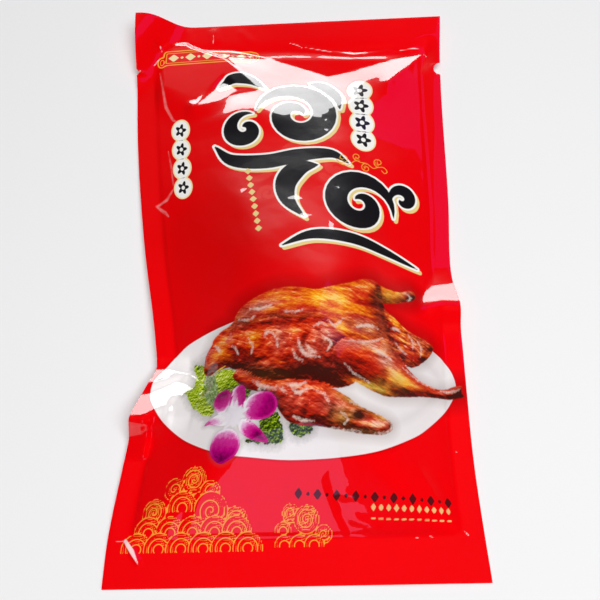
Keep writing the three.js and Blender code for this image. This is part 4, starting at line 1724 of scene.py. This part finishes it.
@dataclass
class Pouch:
    """The whole pouch."""

    gloss: Gloss = Gloss()
    inks: Inks = Inks()

    def build(self) -> list[bpy.types.Object]:
        """Adds both films."""
        form = PouchForm()
        return [self.front(form), self.back(form)]

    def front(self, form: PouchForm) -> bpy.types.Object:
        """The printed front film.

        Args:
            form: The solid's form.

        Returns:
            The film.
        """
        film = Film(form, Side.FRONT, columns=230)
        piece, flat = film.build("front_film")
        layers = FrontPrint(flat, form.length / film.rows).layers()
        film.finish(piece, layers, FrontFinish("front_print", self.gloss, self.inks).build())
        return piece

    def back(self, form: PouchForm) -> bpy.types.Object:
        """The back film, with a plain panel.

        Args:
            form: The solid's form.

        Returns:
            The film.
        """
        film = Film(form, Side.BACK, columns=115)
        piece, flat = film.build("back_film")
        bars = (flat.box((-10 if k % 3 else 0, 110 - 24 * k), (62 if k % 3 else 72, 1.6), 1.2)
                for k in range(9))
        gems = (flat.lozenge((-64 + 16 * k, v), (6, 8)) for k in range(9) for v in (-156, 170))
        layers = {"panel": flat.box((0, 10), (84, 130), 8), "bars": joined(flat.blank(), *bars),
                  "gems": joined(flat.blank(), *gems)}
        film.finish(piece, layers, BackFinish("back_print", self.gloss, self.inks).build())
        return piece


# ---------------------------------------------------------------- floor, camera and light


@dataclass(frozen=True)
class Lamp:
    """One rectangular lamp, aimed at a point.

    Attributes:
        mirrored: Whether the film mirrors it.
        lights: Whether it lights the film and the floor.
    """

    name: str
    place: Place
    aim: Place
    size: Point
    power: float
    colour: Place = (1.0, 1.0, 1.0)
    mirrored: bool = True
    lights: bool = False

    def build(self) -> None:
        """Adds the lamp."""
        data = bpy.data.lights.new(self.name, "AREA")
        data.shape = "RECTANGLE"
        data.size, data.size_y = self.size
        data.energy, data.color = self.power, self.colour
        lamp = bpy.data.objects.new(self.name, data)
        bpy.context.scene.collection.objects.link(lamp)
        lamp.location = self.place
        lamp.rotation_euler = (Vector(self.aim) - Vector(self.place)).to_track_quat("-Z", "Y").to_euler()
        lamp.visible_glossy, lamp.visible_diffuse = self.mirrored, self.lights


@dataclass(frozen=True)
class Studio:
    """Floor, camera, lamps and the faint light of the room."""

    camera_place: Place = (0.00162, -0.2461, 0.56633)
    camera_tilt: float = 21.34
    camera_swing: float = 0.95
    lens: float = 48.0
    sensor: float = 36.0
    lamps: tuple[Lamp, ...] = (
        Lamp("window", (-0.05, 1.33, 0.43), (0, 0, 0.02), (1.45, 0.44), 21.0),
        Lamp("wall", (-0.08, -1.5, 0.62), (0, 0, 0), (0.46, 0.6), 1.0, (0.45, 0.5, 1.0)),
        Lamp("sky", (0.8, 0.75, 1.3), (0, 0, 0), (0.9, 0.9), 1.3, (0.3, 0.12, 1.0)),
        Lamp("ceiling", (0.4, -0.5, 2.3), (0, 0, 0), (2, 2), 70.0, mirrored=False, lights=True),
    )
    room_light: float = 0.015
    floor_size: float = 8.0
    floor_colour: Colour = srgb(243, 243, 244)
    floor_roughness: float = 0.9

    def build(self) -> None:
        """Adds them all."""
        self.floor()
        self.camera()
        for lamp in self.lamps:
            lamp.build()
        world = bpy.data.worlds.new("room")
        world.use_nodes = True
        sky = world.node_tree.nodes["Background"]
        sky.inputs["Color"].default_value = (1, 1, 1, 1)
        sky.inputs["Strength"].default_value = self.room_light
        bpy.context.scene.world = world
        bpy.context.scene.view_settings.view_transform = "Standard"

    def floor(self) -> None:
        """A wide pale floor."""
        bpy.ops.object.select_all(action="DESELECT")
        bpy.ops.mesh.primitive_plane_add(size=self.floor_size)
        floor = bpy.context.object
        floor.name = "floor"
        g = Graph("pale_floor")
        shader = g.node("BsdfPrincipled", {}, {
            "Base Color": self.floor_colour, "Roughness": self.floor_roughness})
        g.node("OutputMaterial", {}, {"Surface": shader})
        floor.data.materials.append(g.material)

    def camera(self) -> None:
        """The camera, above the foot of the pouch and tilted towards its header."""
        data = bpy.data.cameras.new("camera")
        data.lens, data.sensor_width = self.lens, self.sensor
        camera = bpy.data.objects.new("camera", data)
        bpy.context.scene.collection.objects.link(camera)
        camera.location = self.camera_place
        camera.rotation_euler = (math.radians(self.camera_tilt), 0, -math.radians(self.camera_swing))
        bpy.context.scene.camera = camera


def main() -> None:
    """Builds the pouch and the studio."""
    logging.basicConfig(level=logging.INFO, format="%(message)s")
    for piece in Pouch().build():
        log.info("%s is in place", piece.name)
    Studio().build()


if __name__ == "__main__":
    main()
